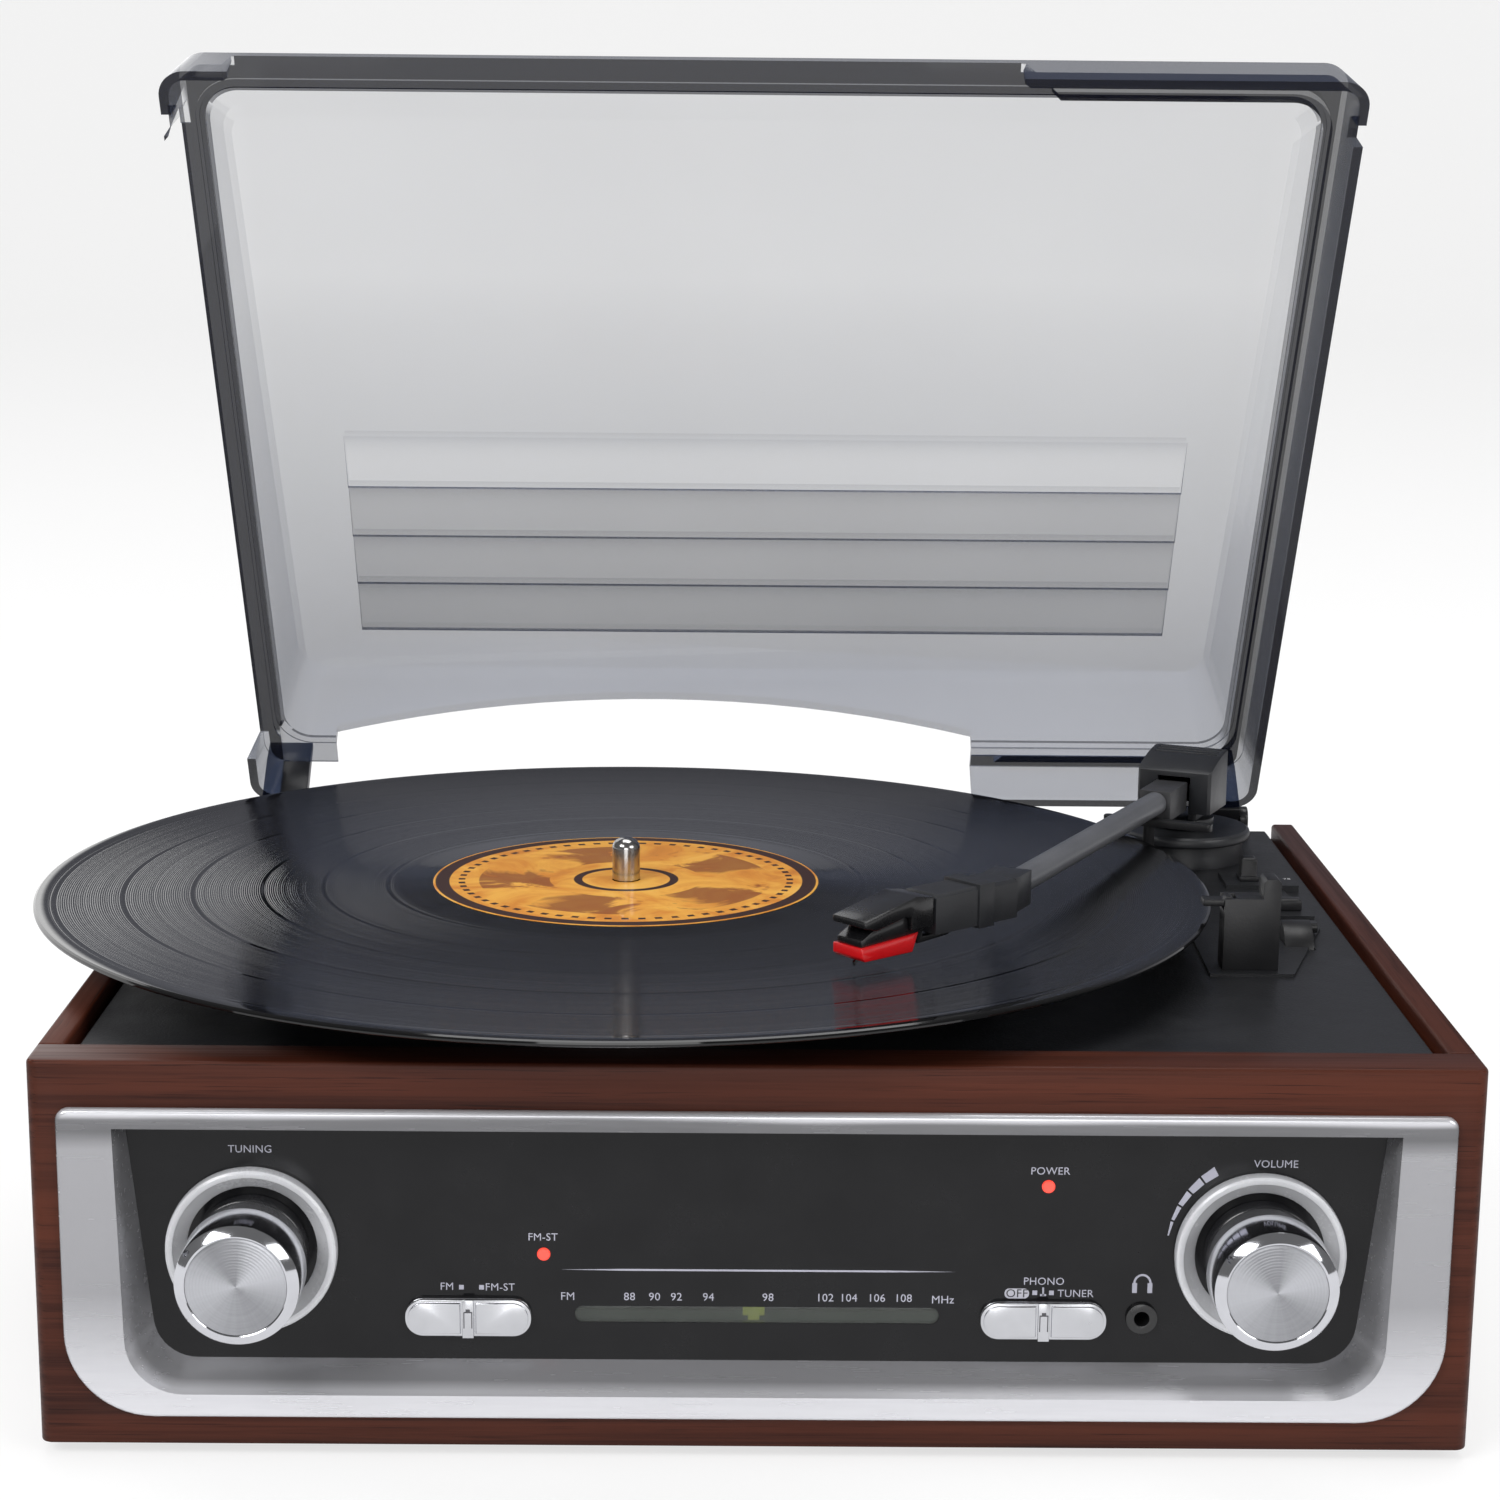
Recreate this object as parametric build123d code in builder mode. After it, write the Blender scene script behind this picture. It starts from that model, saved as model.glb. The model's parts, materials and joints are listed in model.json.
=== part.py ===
from build123d import *
import os
from math import asin, atan2, cos, hypot, radians, sin, tan

# Compact record player with a built-in radio: a veneered box with a silver framed control
# panel, a platter with a twelve-inch record, a straight tone arm and a smoked clear lid.
# Millimetres. +X is to the viewer's right, +Y away from the viewer, +Z up, and the feet
# stand on Z = 0. Names ending in _x are measured from the middle of the case, in _y back
# from its front face, and in _rise above its top edge.

os.makedirs("parts", exist_ok=True)

# Clearances
running_fit = 0.05
slide_gap = 0.25
soft_gap = 0.3

# Case
case_width = 326.4
case_depth = 257.0
case_height = 90.8
foot_height = 3.0
foot_radius = 11.0
foot_inset = 38.0
front_board = 14.0
side_board = 6.6
back_panel = 3.0
base_board = 4.0
case_corner_radius = 3.0
edge_break = 0.6
glue_block = 12.0
rail_size = 8.0
vent_slot_length = 44.0
vent_slot_width = 3.0
vent_slot_pitch = 8.0
speaker_vents = 7
rear_vents = 3

# Deck
deck_drop = 2.0
deck_thickness = 2.5
deck_side_gap = 1.6
deck_end_gap = 0.4
plinth_rise = 0.8
plinth_margin = 3.5

# Record, platter and drive
record_x = -33.5
record_y = 127.6
record_radius = 150.8
record_thickness = 1.5
record_top_rise = 12.0
record_bead = 3.2
record_relief = 0.25
record_hole_radius = 3.65
label_radius = 50.0
label_thickness = 0.2
mat_radius = 96.0
mat_thickness = 1.6
platter_radius = 98.0
platter_height = 8.4
platter_web = 2.2
platter_rim = 3.0
belt_hub_radius = 60.0
belt_hub_wall = 3.0
spindle_radius = 3.6
spindle_neck_radius = 3.2
spindle_above_record = 11.5
spindle_tip_height = 2.8
journal_radius = 3.0
bush_radius = 6.0
bush_height = 16.0
bush_flange_radius = 9.0
bush_flange = 1.4
boss_wall = 4.0
belt_thickness = 0.8
belt_width = 4.0
belt_base_rise = 1.3
pulley_radius = 5.5
pulley_flange = 1.0
pulley_inset = 12.0
motor_shaft_radius = 1.2
motor_radius = 16.0
motor_height = 22.0
motor_angle = 55.0
motor_plate_thickness = 1.6
motor_plate_reach = 23.0
motor_hole_radius = 9.0

# Tone arm base and pivot
pivot_x = 124.0
pivot_y = 218.5
turret_radius = 18.0
turret_flange_radius = 19.5
turret_flange = 3.0
turret_top_rise = 8.0
turret_hub_radius = 7.5
turret_hub_drop = 13.0
arm_shaft_radius = 2.5
arm_nut_radius = 5.0
arm_nut_height = 3.0
washer_radius = 5.5
washer_height = 0.4
arm_angle = 24.3
arm_slope = 1.1
arm_axis_rise = 19.0
yoke_radius = 9.0
yoke_foot = 2.6
yoke_length = 12.6
yoke_head_room = 2.8
cheek_thickness = 2.4
cross_pin_radius = 1.2

# Pivot cover
cover_width = 21.5
cover_front = 10.0
cover_rear = 8.0
cover_wall = 1.3
cover_bottom_rise = 13.6
cover_front_rise = 25.4
cover_crown_rise = 28.6
cover_rear_rise = 29.6
cover_edge = 0.8
cover_lug = 4.0
ridge_width = 1.0
ridge_depth = 1.1
ridge_pitch = 2.2
ridges = 3

# Arm tube and head, measured along the arm from the pivot and along the head from the bend
block_width = 9.0
block_height = 8.2
block_front = 28.0
block_step = 11.9
neck_width = 6.4
neck_height = 5.0
neck_rear = 6.0
tube_radius = 3.3
tube_bore = 2.5
tube_grip = 9.0
collar_start = 148.0
collar_length = 11.5
collar_width = 9.6
collar_height = 8.6
head_joint = 166.0
head_angle = 49.0
head_width = 11.0
socket_rear = -4.5
socket_front = 23.0
socket_bottom_rise = 18.0
socket_top_rise = 27.5
socket_edge = 0.7
clip_start = 4.0
clip_length = 5.0
clip_skin = 0.6
shell_start = 23.8
shell_front = 46.0
shell_flat = 5.6
shell_rear_rise = 28.2
shell_front_rise = 24.6
shell_bottom_rise = 20.2
shell_nose_bottom_rise = 23.0
shell_wall = 1.4
shell_arch = 7.0
cartridge_start = 25.4
cartridge_front = 45.7
cartridge_top_rise = 24.0
cartridge_nose_rise = 21.6
holder_start = 26.0
holder_front = 46.3
holder_width = 10.0
holder_bottom_rise = 14.9
holder_front_rise = 18.2
holder_rear_rise = 19.2
holder_slant = 4.0
tail_start = 15.5
tail_width = 5.0
tail_bottom_rise = 16.4
stylus_reach = 44.0
stylus_lift = 1.0
stylus_radius = 0.35
stylus_root = 40.0

# Arm rest with its keeper
rest_x = 123.7
rest_y = 94.0
rest_width = 14.0
rest_depth = 8.0
rest_floor_rise = 17.0
rest_right_rise = 22.0
rest_right_wall = 4.4
rest_edge = 0.8
keeper_inset = 1.3
keeper_drop = 1.4
keeper_length = 6.4
keeper_thickness = 1.6
keeper_hub_radius = 1.6
keeper_width = 5.0
keeper_pin_radius = 0.8
keeper_pin_length = 1.0

# Cueing lever, arm lift and deck switches
cue_x = 140.6
cue_y = 124.0
cue_drop = 6.5
cue_radius = 10.0
cue_width = 7.4
cue_pin_radius = 1.2
cue_ear = 1.8
cue_pocket = 3.0
paddle_length = 2.6
paddle_radius = 1.3
paddle_turn = 25.0
lift_distance = 33.0
lift_pad_left = 13.0
lift_pad_right = 18.0
lift_pad_width = 3.2
lift_pad_height = 2.0
lift_post_radius = 1.6
lift_post_drop = 14.0
switch_pad_height = 1.2
switch_stem = 2.4
switch_stem_drop = 9.0
speed_x = 138.0
speed_y = 185.0
speed_travel = 6.0
speed_pad_width = 20.0
speed_pad_depth = 16.0
speed_knob_width = 4.4
speed_knob_depth = 5.0
speed_knob_height = 6.4
speed_foot = 1.2
stop_x = 143.4
stop_y = 152.0
stop_travel = 5.0
stop_pad_width = 11.5
stop_pad_depth = 20.0
stop_knob_width = 6.4
stop_knob_depth = 4.0
stop_knob_height = 3.2

# Control panel
bezel_half_width = 156.6
bezel_bottom = 7.0
bezel_top = 80.1
bezel_top_corner = 3.0
bezel_bottom_corner = 20.0
bezel_proud = 1.8
bezel_edge_round = 1.2
mouth_half_width = 144.0
mouth_taper = 1.5
mouth_bottom = 12.7
mouth_top = 75.6
mouth_corner = 13.0
face_half_width = 142.5
face_taper = 6.0
face_bottom = 18.5
face_top = 74.1
face_corner = 10.0
opening_half_width = 150.0
opening_bottom = 9.5
opening_top = 78.0
opening_corner = 8.0
fascia_y = 6.5
fascia_thickness = 2.0
fascia_margin = 2.0
fascia_clip = 2.0
fascia_post_radius = 3.0
fascia_post_x = 128.0
fascia_post_inset = 10.0
knob_x = 114.6
knob_height = 44.8
dish_radius = 19.5
dish_throat = 14.8
dish_lip = 17.0
dish_proud = 3.0
knob_radius = 14.0
knob_face_radius = 12.3
knob_face_y = -19.0
knob_cap_depth = 13.5
knob_skirt_radius = 13.0
knob_groove_radius = 12.2
knob_groove = 1.0
knob_shaft_radius = 3.0
knob_shaft_depth = 12.0
control_radius = 8.5
tuner_box = 20.0
panel_board_y = 21.0
panel_board_thickness = 1.6
panel_board_half_width = 140.0
panel_board_bottom = 14.0
panel_board_top = 74.0
switch_x = 65.6
switch_height = 29.0
pill_length = 28.7
pill_width = 8.7
pill_proud = 0.7
pill_slot_length = 8.6
pill_slot_width = 3.2
slider_thickness = 0.8
slider_pad_proud = 0.5
slider_pad_inset = 0.7
slider_waist = 3.6
slider_grip_width = 2.6
slider_grip_height = 9.2
slider_grip_proud = 0.8
slider_stem_width = 2.6
slider_stem_length = 9.0
switch_body_length = 26.0
switch_body_height = 8.0
jack_x = 88.1
jack_height = 29.5
jack_bore_radius = 1.75
jack_bore_depth = 13.0
jack_barrel_radius = 2.8
jack_nut_radius = 3.6
jack_nut_proud = 1.2
jack_body_radius = 4.6
lamp_radius = 1.5
lamp_lead_radius = 0.9
lamp_proud = 0.5
stereo_lamp_x = -48.4
stereo_lamp_height = 43.9
power_lamp_x = 66.0
power_lamp_height = 60.8
dial_x = 0.2
dial_height = 29.5
dial_length = 83.2
dial_width = 3.9
dial_window_thickness = 1.2
dial_pointer_x = -0.5
dial_pointer_width = 2.6
dial_pointer_height = 8.0
dial_pointer_gap = 1.0
dial_pointer_thickness = 1.0
dial_travel = 38.0
pointer_rail_radius = 1.0
pointer_hub_radius = 2.2
pointer_hub_length = 5.0

# Lid, measured on itself: v from the hinge side to the front edge, w up from the rim
lid_middle_x = 0.8
lid_rear = 6.0
lid_front = 243.0
lid_rear_half_width = 149.0
lid_front_half_width = 151.5
lid_wall = 2.5
lid_corner = 7.0
skirt_height = 15.5
skirt_draft = 2.8
dome_rear = 15.0
dome_front = 234.5
dome_rear_half_width = 142.5
dome_front_half_width = 145.2
dome_corner = 11.0
roof_rear = 22.0
roof_front = 218.5
roof_rear_height = 45.0
roof_front_height = 32.0
roof_rear_half_width = 138.0
roof_front_half_width = 142.0
roof_corner = 9.0
bead_width = 2.4
bead_drop = 3.4
bead_gap = 0.8
front_cut_left = -133.8
front_cut_right = 64.7
side_cut_rear = 22.0
side_cut_front = 222.0
skirt_cut_height = 13.0
record_cut_height = 12.4
lid_record_gap = 2.0
rear_cut_left = -140.8
rear_cut_height = 15.0
arch_left = -124.8
arch_spring = 19.7
arch_crown = 33.0
notch_v = 228.0
notch_length = 6.0
notch_height = 5.0
louvre_x = 2.2
louvre_length = 240.0
louvre_rear = 39.5
louvre_pitch = 17.9
louvre_step = 1.4
louvre_tip = 0.4
louvres = 4
lid_open_angle = 61.7

# Lid hinges
hinge_y = 253.0
hinge_rise = 2.6
lid_seat_gap = 0.4
hinge_x = 139.0
hinge_leaf_width = 13.0
hinge_leaf_height = 24.0
hinge_leaf_back = 2.0
hinge_leaf_drop = 0.8
hinge_knuckle_radius = 3.0
hinge_pin_radius = 1.5
hinge_ear = 2.5
hinge_ear_radius = 3.6
hinge_foot = 1.2

# Inside the case
speaker_x = 88.0
speaker_y = 92.0
speaker_radius = 38.0
speaker_flange = 3.0
speaker_cone_height = 18.0
speaker_neck_radius = 20.0
speaker_magnet_height = 12.0
main_board_x = 6.0
main_board_y = 172.0
main_board_width = 110.0
main_board_depth = 90.0
main_board_thickness = 1.6
standoff_height = 6.0
standoff_radius = 3.0
standoff_inset = 6.0
chip_size = 18.0
chip_height = 4.0
capacitor_radius = 5.0
capacitor_height = 14.0
transformer_x = -112.0
transformer_y = 196.0
transformer_width = 46.0
transformer_depth = 38.0
transformer_height = 36.0
bobbin_inset = 8.0
bobbin_proud = 5.0
phono_jack_x = 96.0
phono_jack_height = 34.0
phono_jack_pitch = 14.0
phono_pin_radius = 4.15
phono_neck_radius = 3.6
phono_pin_length = 8.0
phono_bore_radius = 1.6
jack_plate_width = 40.0
jack_plate_height = 22.0
jack_plate_thickness = 1.5
jack_block_depth = 8.0
gland_x = -112.0
gland_height = 26.0
gland_radius = 7.0
gland_flange_radius = 9.0
gland_flange = 1.6
gland_bore_radius = 3.2
screw_head_radius = 3.2
screw_head_height = 1.6
screw_radius = 1.4
screw_length = 11.0

# Heights that follow
case_bottom = foot_height
rim_z = case_bottom + case_height
deck_z = rim_z - deck_drop
deck_under_z = deck_z - deck_thickness
base_top_z = case_bottom + base_board
inner_half = case_width / 2 - side_board
back_inner_y = case_depth - back_panel
record_top_z = rim_z + record_top_rise
record_under_z = record_top_z - record_thickness
platter_top_z = record_under_z - mat_thickness
platter_under_z = platter_top_z - platter_height
plinth_z = deck_z + plinth_rise
pad_z = plinth_z + switch_pad_height
fascia_back_y = fascia_y + fascia_thickness
bezel_back_y = fascia_back_y + fascia_clip
opening_height = opening_top - opening_bottom
opening_z = case_bottom + (opening_bottom + opening_top) / 2

# The hinge line, and the lid's own zero point while the lid is open
hinge_z = rim_z + hinge_rise
lid_axis_height = hinge_rise - lid_seat_gap
open_turn = radians(lid_open_angle)
lid_origin_y = hinge_y - lid_axis_height * sin(open_turn)
lid_origin_z = hinge_z - lid_axis_height * cos(open_turn)

# Z runs through the middle of everything: the record is the limit at the left, in front
# and behind, and the case is the limit at the right.
case_x = -(record_x - record_radius + case_width / 2) / 2
front_y = -record_y


def level(z):
    """Plane facing up: x from the middle of the case, y back from its front face."""
    return Plane(origin=(case_x, front_y, z), x_dir=(1, 0, 0), z_dir=(0, 0, 1))


def upright(y):
    """Plane facing the viewer: x from the middle of the case, y up from the floor."""
    return Plane(origin=(case_x, front_y + y, 0), x_dir=(1, 0, 0), z_dir=(0, -1, 0))


def sideways(x):
    """Plane facing right: x back from the front of the case, y up from the floor."""
    return Plane(origin=(case_x + x, front_y, 0), x_dir=(0, 1, 0), z_dir=(1, 0, 0))


def profile_at(x, y):
    """Plane through an upright axis: x out from the axis, y up from the floor."""
    return Plane(origin=(case_x + x, front_y + y, 0), x_dir=(1, 0, 0), z_dir=(0, -1, 0))


def upright_axis(x, y):
    """Upright axis at a place on the deck."""
    return Axis((case_x + x, front_y + y, 0), (0, 0, 1))


def control_profile(x, z):
    """Level plane through an axis that points at the viewer: x outward, y backward."""
    return Plane(origin=(case_x + x, front_y, z), x_dir=(1, 0, 0), z_dir=(0, 0, 1))


def control_axis(x, z):
    """Axis that points away from the viewer through a place on the control panel."""
    return Axis((case_x + x, front_y, z), (0, 1, 0))


# Front board, with the opening for the control panel
with BuildPart() as front_board_part:
    with BuildSketch(level(case_bottom)):
        with Locations((0, front_board / 2)):
            Rectangle(case_width, front_board)
    extrude(amount=case_height)
    front_corners = front_board_part.edges().filter_by(Axis.Z).group_by(Axis.Y)[0]
    fillet(front_corners, case_corner_radius)
    chamfer(front_board_part.faces().sort_by(Axis.Z)[-1].edges(), edge_break)
    with BuildSketch(upright(-1)):
        with Locations((0, opening_z)):
            RectangleRounded(2 * opening_half_width, opening_height, opening_corner)
    extrude(amount=-(front_board + 2), mode=Mode.SUBTRACT)
front_board_part.part.label = "front_board"
export_step(front_board_part.part, "parts/front_board.step")

side_middle_x = (case_width - side_board) / 2
side_middle_y = (case_depth + front_board) / 2
for side_name, side_sign in (("left_board", -1), ("right_board", 1)):
    with BuildPart() as side_board_part:
        with BuildSketch(level(case_bottom)):
            with Locations((side_sign * side_middle_x, side_middle_y)):
                Rectangle(side_board, case_depth - front_board)
        extrude(amount=case_height)
        long_edges = side_board_part.faces().sort_by(Axis.Z)[-1].edges().filter_by(Axis.Y)
        chamfer(long_edges, edge_break)
    side_board_part.part.label = side_name
    export_step(side_board_part.part, f"parts/{side_name}.step")

# Base, back panel, feet and the frame inside
block_spread_x = 2 * inner_half - glue_block
block_spread_y = back_inner_y - front_board - glue_block
inner_middle_y = (front_board + back_inner_y) / 2

with BuildPart() as base_part:
    with BuildSketch(level(case_bottom)):
        with Locations((0, inner_middle_y)):
            Rectangle(2 * inner_half, back_inner_y - front_board)
            with GridLocations(block_spread_x, block_spread_y, 2, 2):
                Circle(screw_radius + running_fit, mode=Mode.SUBTRACT)
        with Locations((-speaker_x, speaker_y), (speaker_x, speaker_y)):
            with GridLocations(0, vent_slot_pitch, 1, speaker_vents):
                SlotOverall(vent_slot_length, vent_slot_width, mode=Mode.SUBTRACT)
    extrude(amount=base_board)
base_part.part.label = "base_plate"
export_step(base_part.part, "parts/base_plate.step")

gland_z = case_bottom + gland_height
phono_z = case_bottom + phono_jack_height
with BuildPart() as back_part:
    with BuildSketch(upright(back_inner_y)):
        with Locations((0, (case_bottom + deck_under_z) / 2)):
            Rectangle(2 * inner_half, deck_under_z - case_bottom)
        with Locations((gland_x, gland_z)):
            Circle(gland_radius, mode=Mode.SUBTRACT)
        with Locations((phono_jack_x, phono_z)):
            with GridLocations(phono_jack_pitch, 0, 2, 1):
                Circle(phono_neck_radius + soft_gap, mode=Mode.SUBTRACT)
        with Locations((0, case_bottom + 2 * case_height / 3)):
            with GridLocations(0, vent_slot_pitch, 1, rear_vents):
                SlotOverall(2 * vent_slot_length, vent_slot_width, mode=Mode.SUBTRACT)
    extrude(amount=-back_panel)
back_part.part.label = "back_panel"
export_step(back_part.part, "parts/back_panel.step")

with BuildPart() as feet_part:
    with BuildSketch(level(0)):
        with Locations((0, case_depth / 2)):
            with GridLocations(case_width - 2 * foot_inset, case_depth - 2 * foot_inset, 2, 2):
                Circle(foot_radius)
    extrude(amount=foot_height)
    chamfer(feet_part.edges().group_by(Axis.Z)[0], edge_break)
feet_part.part.label = "rubber_feet"
export_step(feet_part.part, "parts/rubber_feet.step")

with BuildPart() as frame_part:
    with BuildSketch(level(base_top_z)):
        with Locations((0, inner_middle_y)):
            with GridLocations(block_spread_x, block_spread_y, 2, 2):
                Rectangle(glue_block, glue_block)
                Circle(screw_radius + running_fit, mode=Mode.SUBTRACT)
    extrude(amount=deck_under_z - base_top_z)
    with BuildSketch(level(deck_under_z - rail_size)):
        with Locations((0, inner_middle_y)):
            with GridLocations(2 * inner_half - rail_size, 0, 2, 1):
                Rectangle(rail_size, back_inner_y - front_board)
    extrude(amount=rail_size)
frame_part.part.label = "inner_frame"
export_step(frame_part.part, "parts/inner_frame.step")

with BuildPart() as screws_part:
    with BuildSketch(level(case_bottom - screw_head_height)):
        with Locations((0, inner_middle_y)):
            with GridLocations(block_spread_x, block_spread_y, 2, 2):
                Circle(screw_head_radius)
    extrude(amount=screw_head_height)
    chamfer(screws_part.edges().group_by(Axis.Z)[0], screw_head_height / 3)
    with BuildSketch(level(case_bottom)):
        with Locations((0, inner_middle_y)):
            with GridLocations(block_spread_x, block_spread_y, 2, 2):
                Circle(screw_radius)
    extrude(amount=screw_length)
screws_part.part.label = "base_screws"
export_step(screws_part.part, "parts/base_screws.step")

# Places on the deck
motor_turn = radians(motor_angle)
pulley_distance = belt_hub_radius + pulley_inset
motor_x = record_x + pulley_distance * cos(motor_turn)
motor_y = record_y + pulley_distance * sin(motor_turn)
belt_low_z = rim_z + belt_base_rise
swing = radians(arm_angle)
slope = radians(arm_slope)
arm_axis_z = rim_z + arm_axis_rise
lift_x = pivot_x - lift_distance * sin(swing)
lift_y = pivot_y - lift_distance * cos(swing)
rest_left = rest_x - rest_width / 2
rest_right = rest_x + rest_width / 2
rest_front = rest_y - rest_depth / 2
cue_z = rim_z - cue_drop
cue_ear_low_z = cue_z - cue_pin_radius - cue_ear
cue_slot_width = cue_width + 2 * slide_gap
cue_slot_length = 2 * cue_radius + 2 * soft_gap
stem_slot = switch_stem + 2 * slide_gap
speed_pad_x = speed_x + speed_travel / 2

# Deck: the black top plate, with the raised ground for the arm and its switches
with BuildPart() as deck_part:
    with BuildSketch(level(deck_under_z)):
        with Locations((0, side_middle_y)):
            Rectangle(
                2 * (inner_half - deck_side_gap), case_depth - front_board - 2 * deck_end_gap
            )
    extrude(amount=deck_thickness)
    chamfer(deck_part.faces().sort_by(Axis.Z)[-1].edges(), edge_break)
    with BuildSketch(level(deck_z)):
        with BuildLine():
            Polyline(
                (rest_left - plinth_margin, rest_front - plinth_margin),
                (rest_right + plinth_margin, rest_front - plinth_margin),
                (stop_x + stop_pad_width / 2, cue_y + cue_radius),
                (pivot_x + turret_radius + plinth_margin, pivot_y - turret_radius),
                (pivot_x + turret_radius + plinth_margin, pivot_y + turret_radius),
                (pivot_x - turret_radius, pivot_y + turret_radius),
                (pivot_x - turret_radius, pivot_y - turret_radius / 2),
                (rest_left - plinth_margin / 2, pivot_y - 2 * turret_radius),
                close=True,
            )
        make_face()
    extrude(amount=plinth_rise)
    with BuildSketch(level(deck_z)):
        with Locations((speed_pad_x, speed_y)):
            Rectangle(speed_pad_width, speed_pad_depth)
        with Locations((stop_x, stop_y)):
            Rectangle(stop_pad_width, stop_pad_depth)
    extrude(amount=plinth_rise + switch_pad_height)
    with BuildSketch(level(deck_z - bush_height)):
        with Locations((record_x, record_y)):
            Circle(bush_radius + boss_wall)
    extrude(amount=bush_height - deck_thickness)
    with BuildSketch(level(cue_ear_low_z)):
        with Locations((cue_x, cue_y)):
            with GridLocations(cue_slot_width + cue_ear, 0, 2, 1):
                Rectangle(cue_ear, 3 * cue_ear)
    extrude(amount=deck_under_z - cue_ear_low_z)
    with BuildSketch(level(deck_z - bush_height - 1)):
        with Locations((record_x, record_y)):
            Circle(bush_radius)
        with Locations((motor_x, motor_y)):
            Circle(motor_hole_radius)
        with Locations((pivot_x, pivot_y)):
            Circle(turret_hub_radius)
        with Locations((lift_x, lift_y)):
            Circle(lift_post_radius + running_fit)
        with Locations((cue_x, cue_y)):
            Rectangle(cue_slot_width, cue_slot_length)
        with Locations((speed_pad_x, speed_y)):
            Rectangle(speed_travel + stem_slot, stem_slot)
        with Locations((stop_x, stop_y)):
            Rectangle(stem_slot, stop_travel + stem_slot)
    extrude(amount=pad_z - deck_z + bush_height + 2, mode=Mode.SUBTRACT)
    with BuildSketch(sideways(cue_x - cue_width)):
        with Locations((cue_y, cue_z)):
            Circle(cue_pin_radius + running_fit)
    extrude(amount=2 * cue_width, mode=Mode.SUBTRACT)
deck_part.part.label = "deck_plate"
export_step(deck_part.part, "parts/deck_plate.step")

# Bearing bush, pressed into the deck from above
with BuildPart() as bush_part:
    with BuildSketch(profile_at(record_x, record_y)):
        with BuildLine():
            Polyline(
                (journal_radius + running_fit, deck_z - bush_height),
                (bush_radius, deck_z - bush_height),
                (bush_radius, deck_z),
                (bush_flange_radius, deck_z),
                (bush_flange_radius, deck_z + bush_flange),
                (journal_radius + running_fit, deck_z + bush_flange),
                close=True,
            )
        make_face()
    revolve(axis=upright_axis(record_x, record_y))
bush_part.part.label = "bearing_bush"
export_step(bush_part.part, "parts/bearing_bush.step")

# Platter: a shallow dish whose hub stands on the bush and whose inner ring takes the belt
with BuildPart() as platter_part:
    with BuildSketch(profile_at(record_x, record_y)):
        with BuildLine():
            Polyline(
                (journal_radius, deck_z + bush_flange),
                (bush_flange_radius, deck_z + bush_flange),
                (bush_flange_radius, platter_top_z - platter_web),
                (belt_hub_radius - belt_hub_wall, platter_top_z - platter_web),
                (belt_hub_radius - belt_hub_wall, platter_under_z),
                (belt_hub_radius, platter_under_z),
                (belt_hub_radius, platter_top_z - platter_web),
                (platter_radius - platter_rim, platter_top_z - platter_web),
                (platter_radius - platter_rim, platter_under_z),
                (platter_radius, platter_under_z),
                (platter_radius, platter_top_z - 1),
                (platter_radius - 1, platter_top_z),
                (journal_radius, platter_top_z),
                close=True,
            )
        make_face()
    revolve(axis=upright_axis(record_x, record_y))
platter_part.part.label = "platter"
export_step(platter_part.part, "parts/platter.step")

with BuildPart() as mat_part:
    with BuildSketch(level(platter_top_z)):
        with Locations((record_x, record_y)):
            Circle(mat_radius)
            Circle(record_hole_radius, mode=Mode.SUBTRACT)
    extrude(amount=mat_thickness)
    outer_edge = mat_part.edges().group_by(Axis.Z)[-1].sort_by(SortBy.LENGTH)[-1]
    chamfer(outer_edge, edge_break)
mat_part.part.label = "slip_mat"
export_step(mat_part.part, "parts/slip_mat.step")

# Spindle: the journal in the bush, a neck inside the record, and the round-topped centre pin
spindle_top_z = record_top_z + spindle_above_record
neck_top_z = record_top_z + label_thickness + soft_gap
shoulder_z = spindle_top_z - spindle_tip_height
tip_radius = (spindle_radius**2 + spindle_tip_height**2) / (2 * spindle_tip_height)
tip_turn = asin(spindle_radius / tip_radius) / 2
with BuildPart() as spindle_part:
    with BuildSketch(profile_at(record_x, record_y)):
        with BuildLine():
            Polyline(
                (0, spindle_top_z),
                (0, deck_z - bush_height),
                (journal_radius, deck_z - bush_height),
                (journal_radius, platter_top_z),
                (spindle_neck_radius, platter_top_z),
                (spindle_neck_radius, neck_top_z),
                (spindle_radius, neck_top_z),
                (spindle_radius, shoulder_z),
            )
            ThreePointArc(
                (spindle_radius, shoulder_z),
                (tip_radius * sin(tip_turn), spindle_top_z - tip_radius * (1 - cos(tip_turn))),
                (0, spindle_top_z),
            )
        make_face()
    revolve(axis=upright_axis(record_x, record_y))
spindle_part.part.label = "spindle"
export_step(spindle_part.part, "parts/spindle.step")

# Record: an edge bead and a label ground stand a little above the playing area
with BuildPart() as record_part:
    with BuildSketch(profile_at(record_x, record_y)):
        with BuildLine():
            Polyline(
                (record_hole_radius, record_under_z),
                (record_radius - 0.6, record_under_z),
                (record_radius, record_under_z + 0.5),
                (record_radius, record_top_z - 0.5),
                (record_radius - 0.6, record_top_z),
                (record_radius - record_bead, record_top_z),
                (record_radius - record_bead - 1, record_top_z - record_relief),
                (label_radius + 4, record_top_z - record_relief),
                (label_radius + 3, record_top_z),
                (record_hole_radius, record_top_z),
                close=True,
            )
        make_face()
    revolve(axis=upright_axis(record_x, record_y))
record_part.part.label = "record"
export_step(record_part.part, "parts/record.step")

with BuildPart() as label_part:
    with BuildSketch(level(record_top_z)):
        with Locations((record_x, record_y)):
            Circle(label_radius)
            Circle(record_hole_radius, mode=Mode.SUBTRACT)
    extrude(amount=label_thickness)
label_part.part.label = "record_label"
export_step(label_part.part, "parts/record_label.step")

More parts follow.
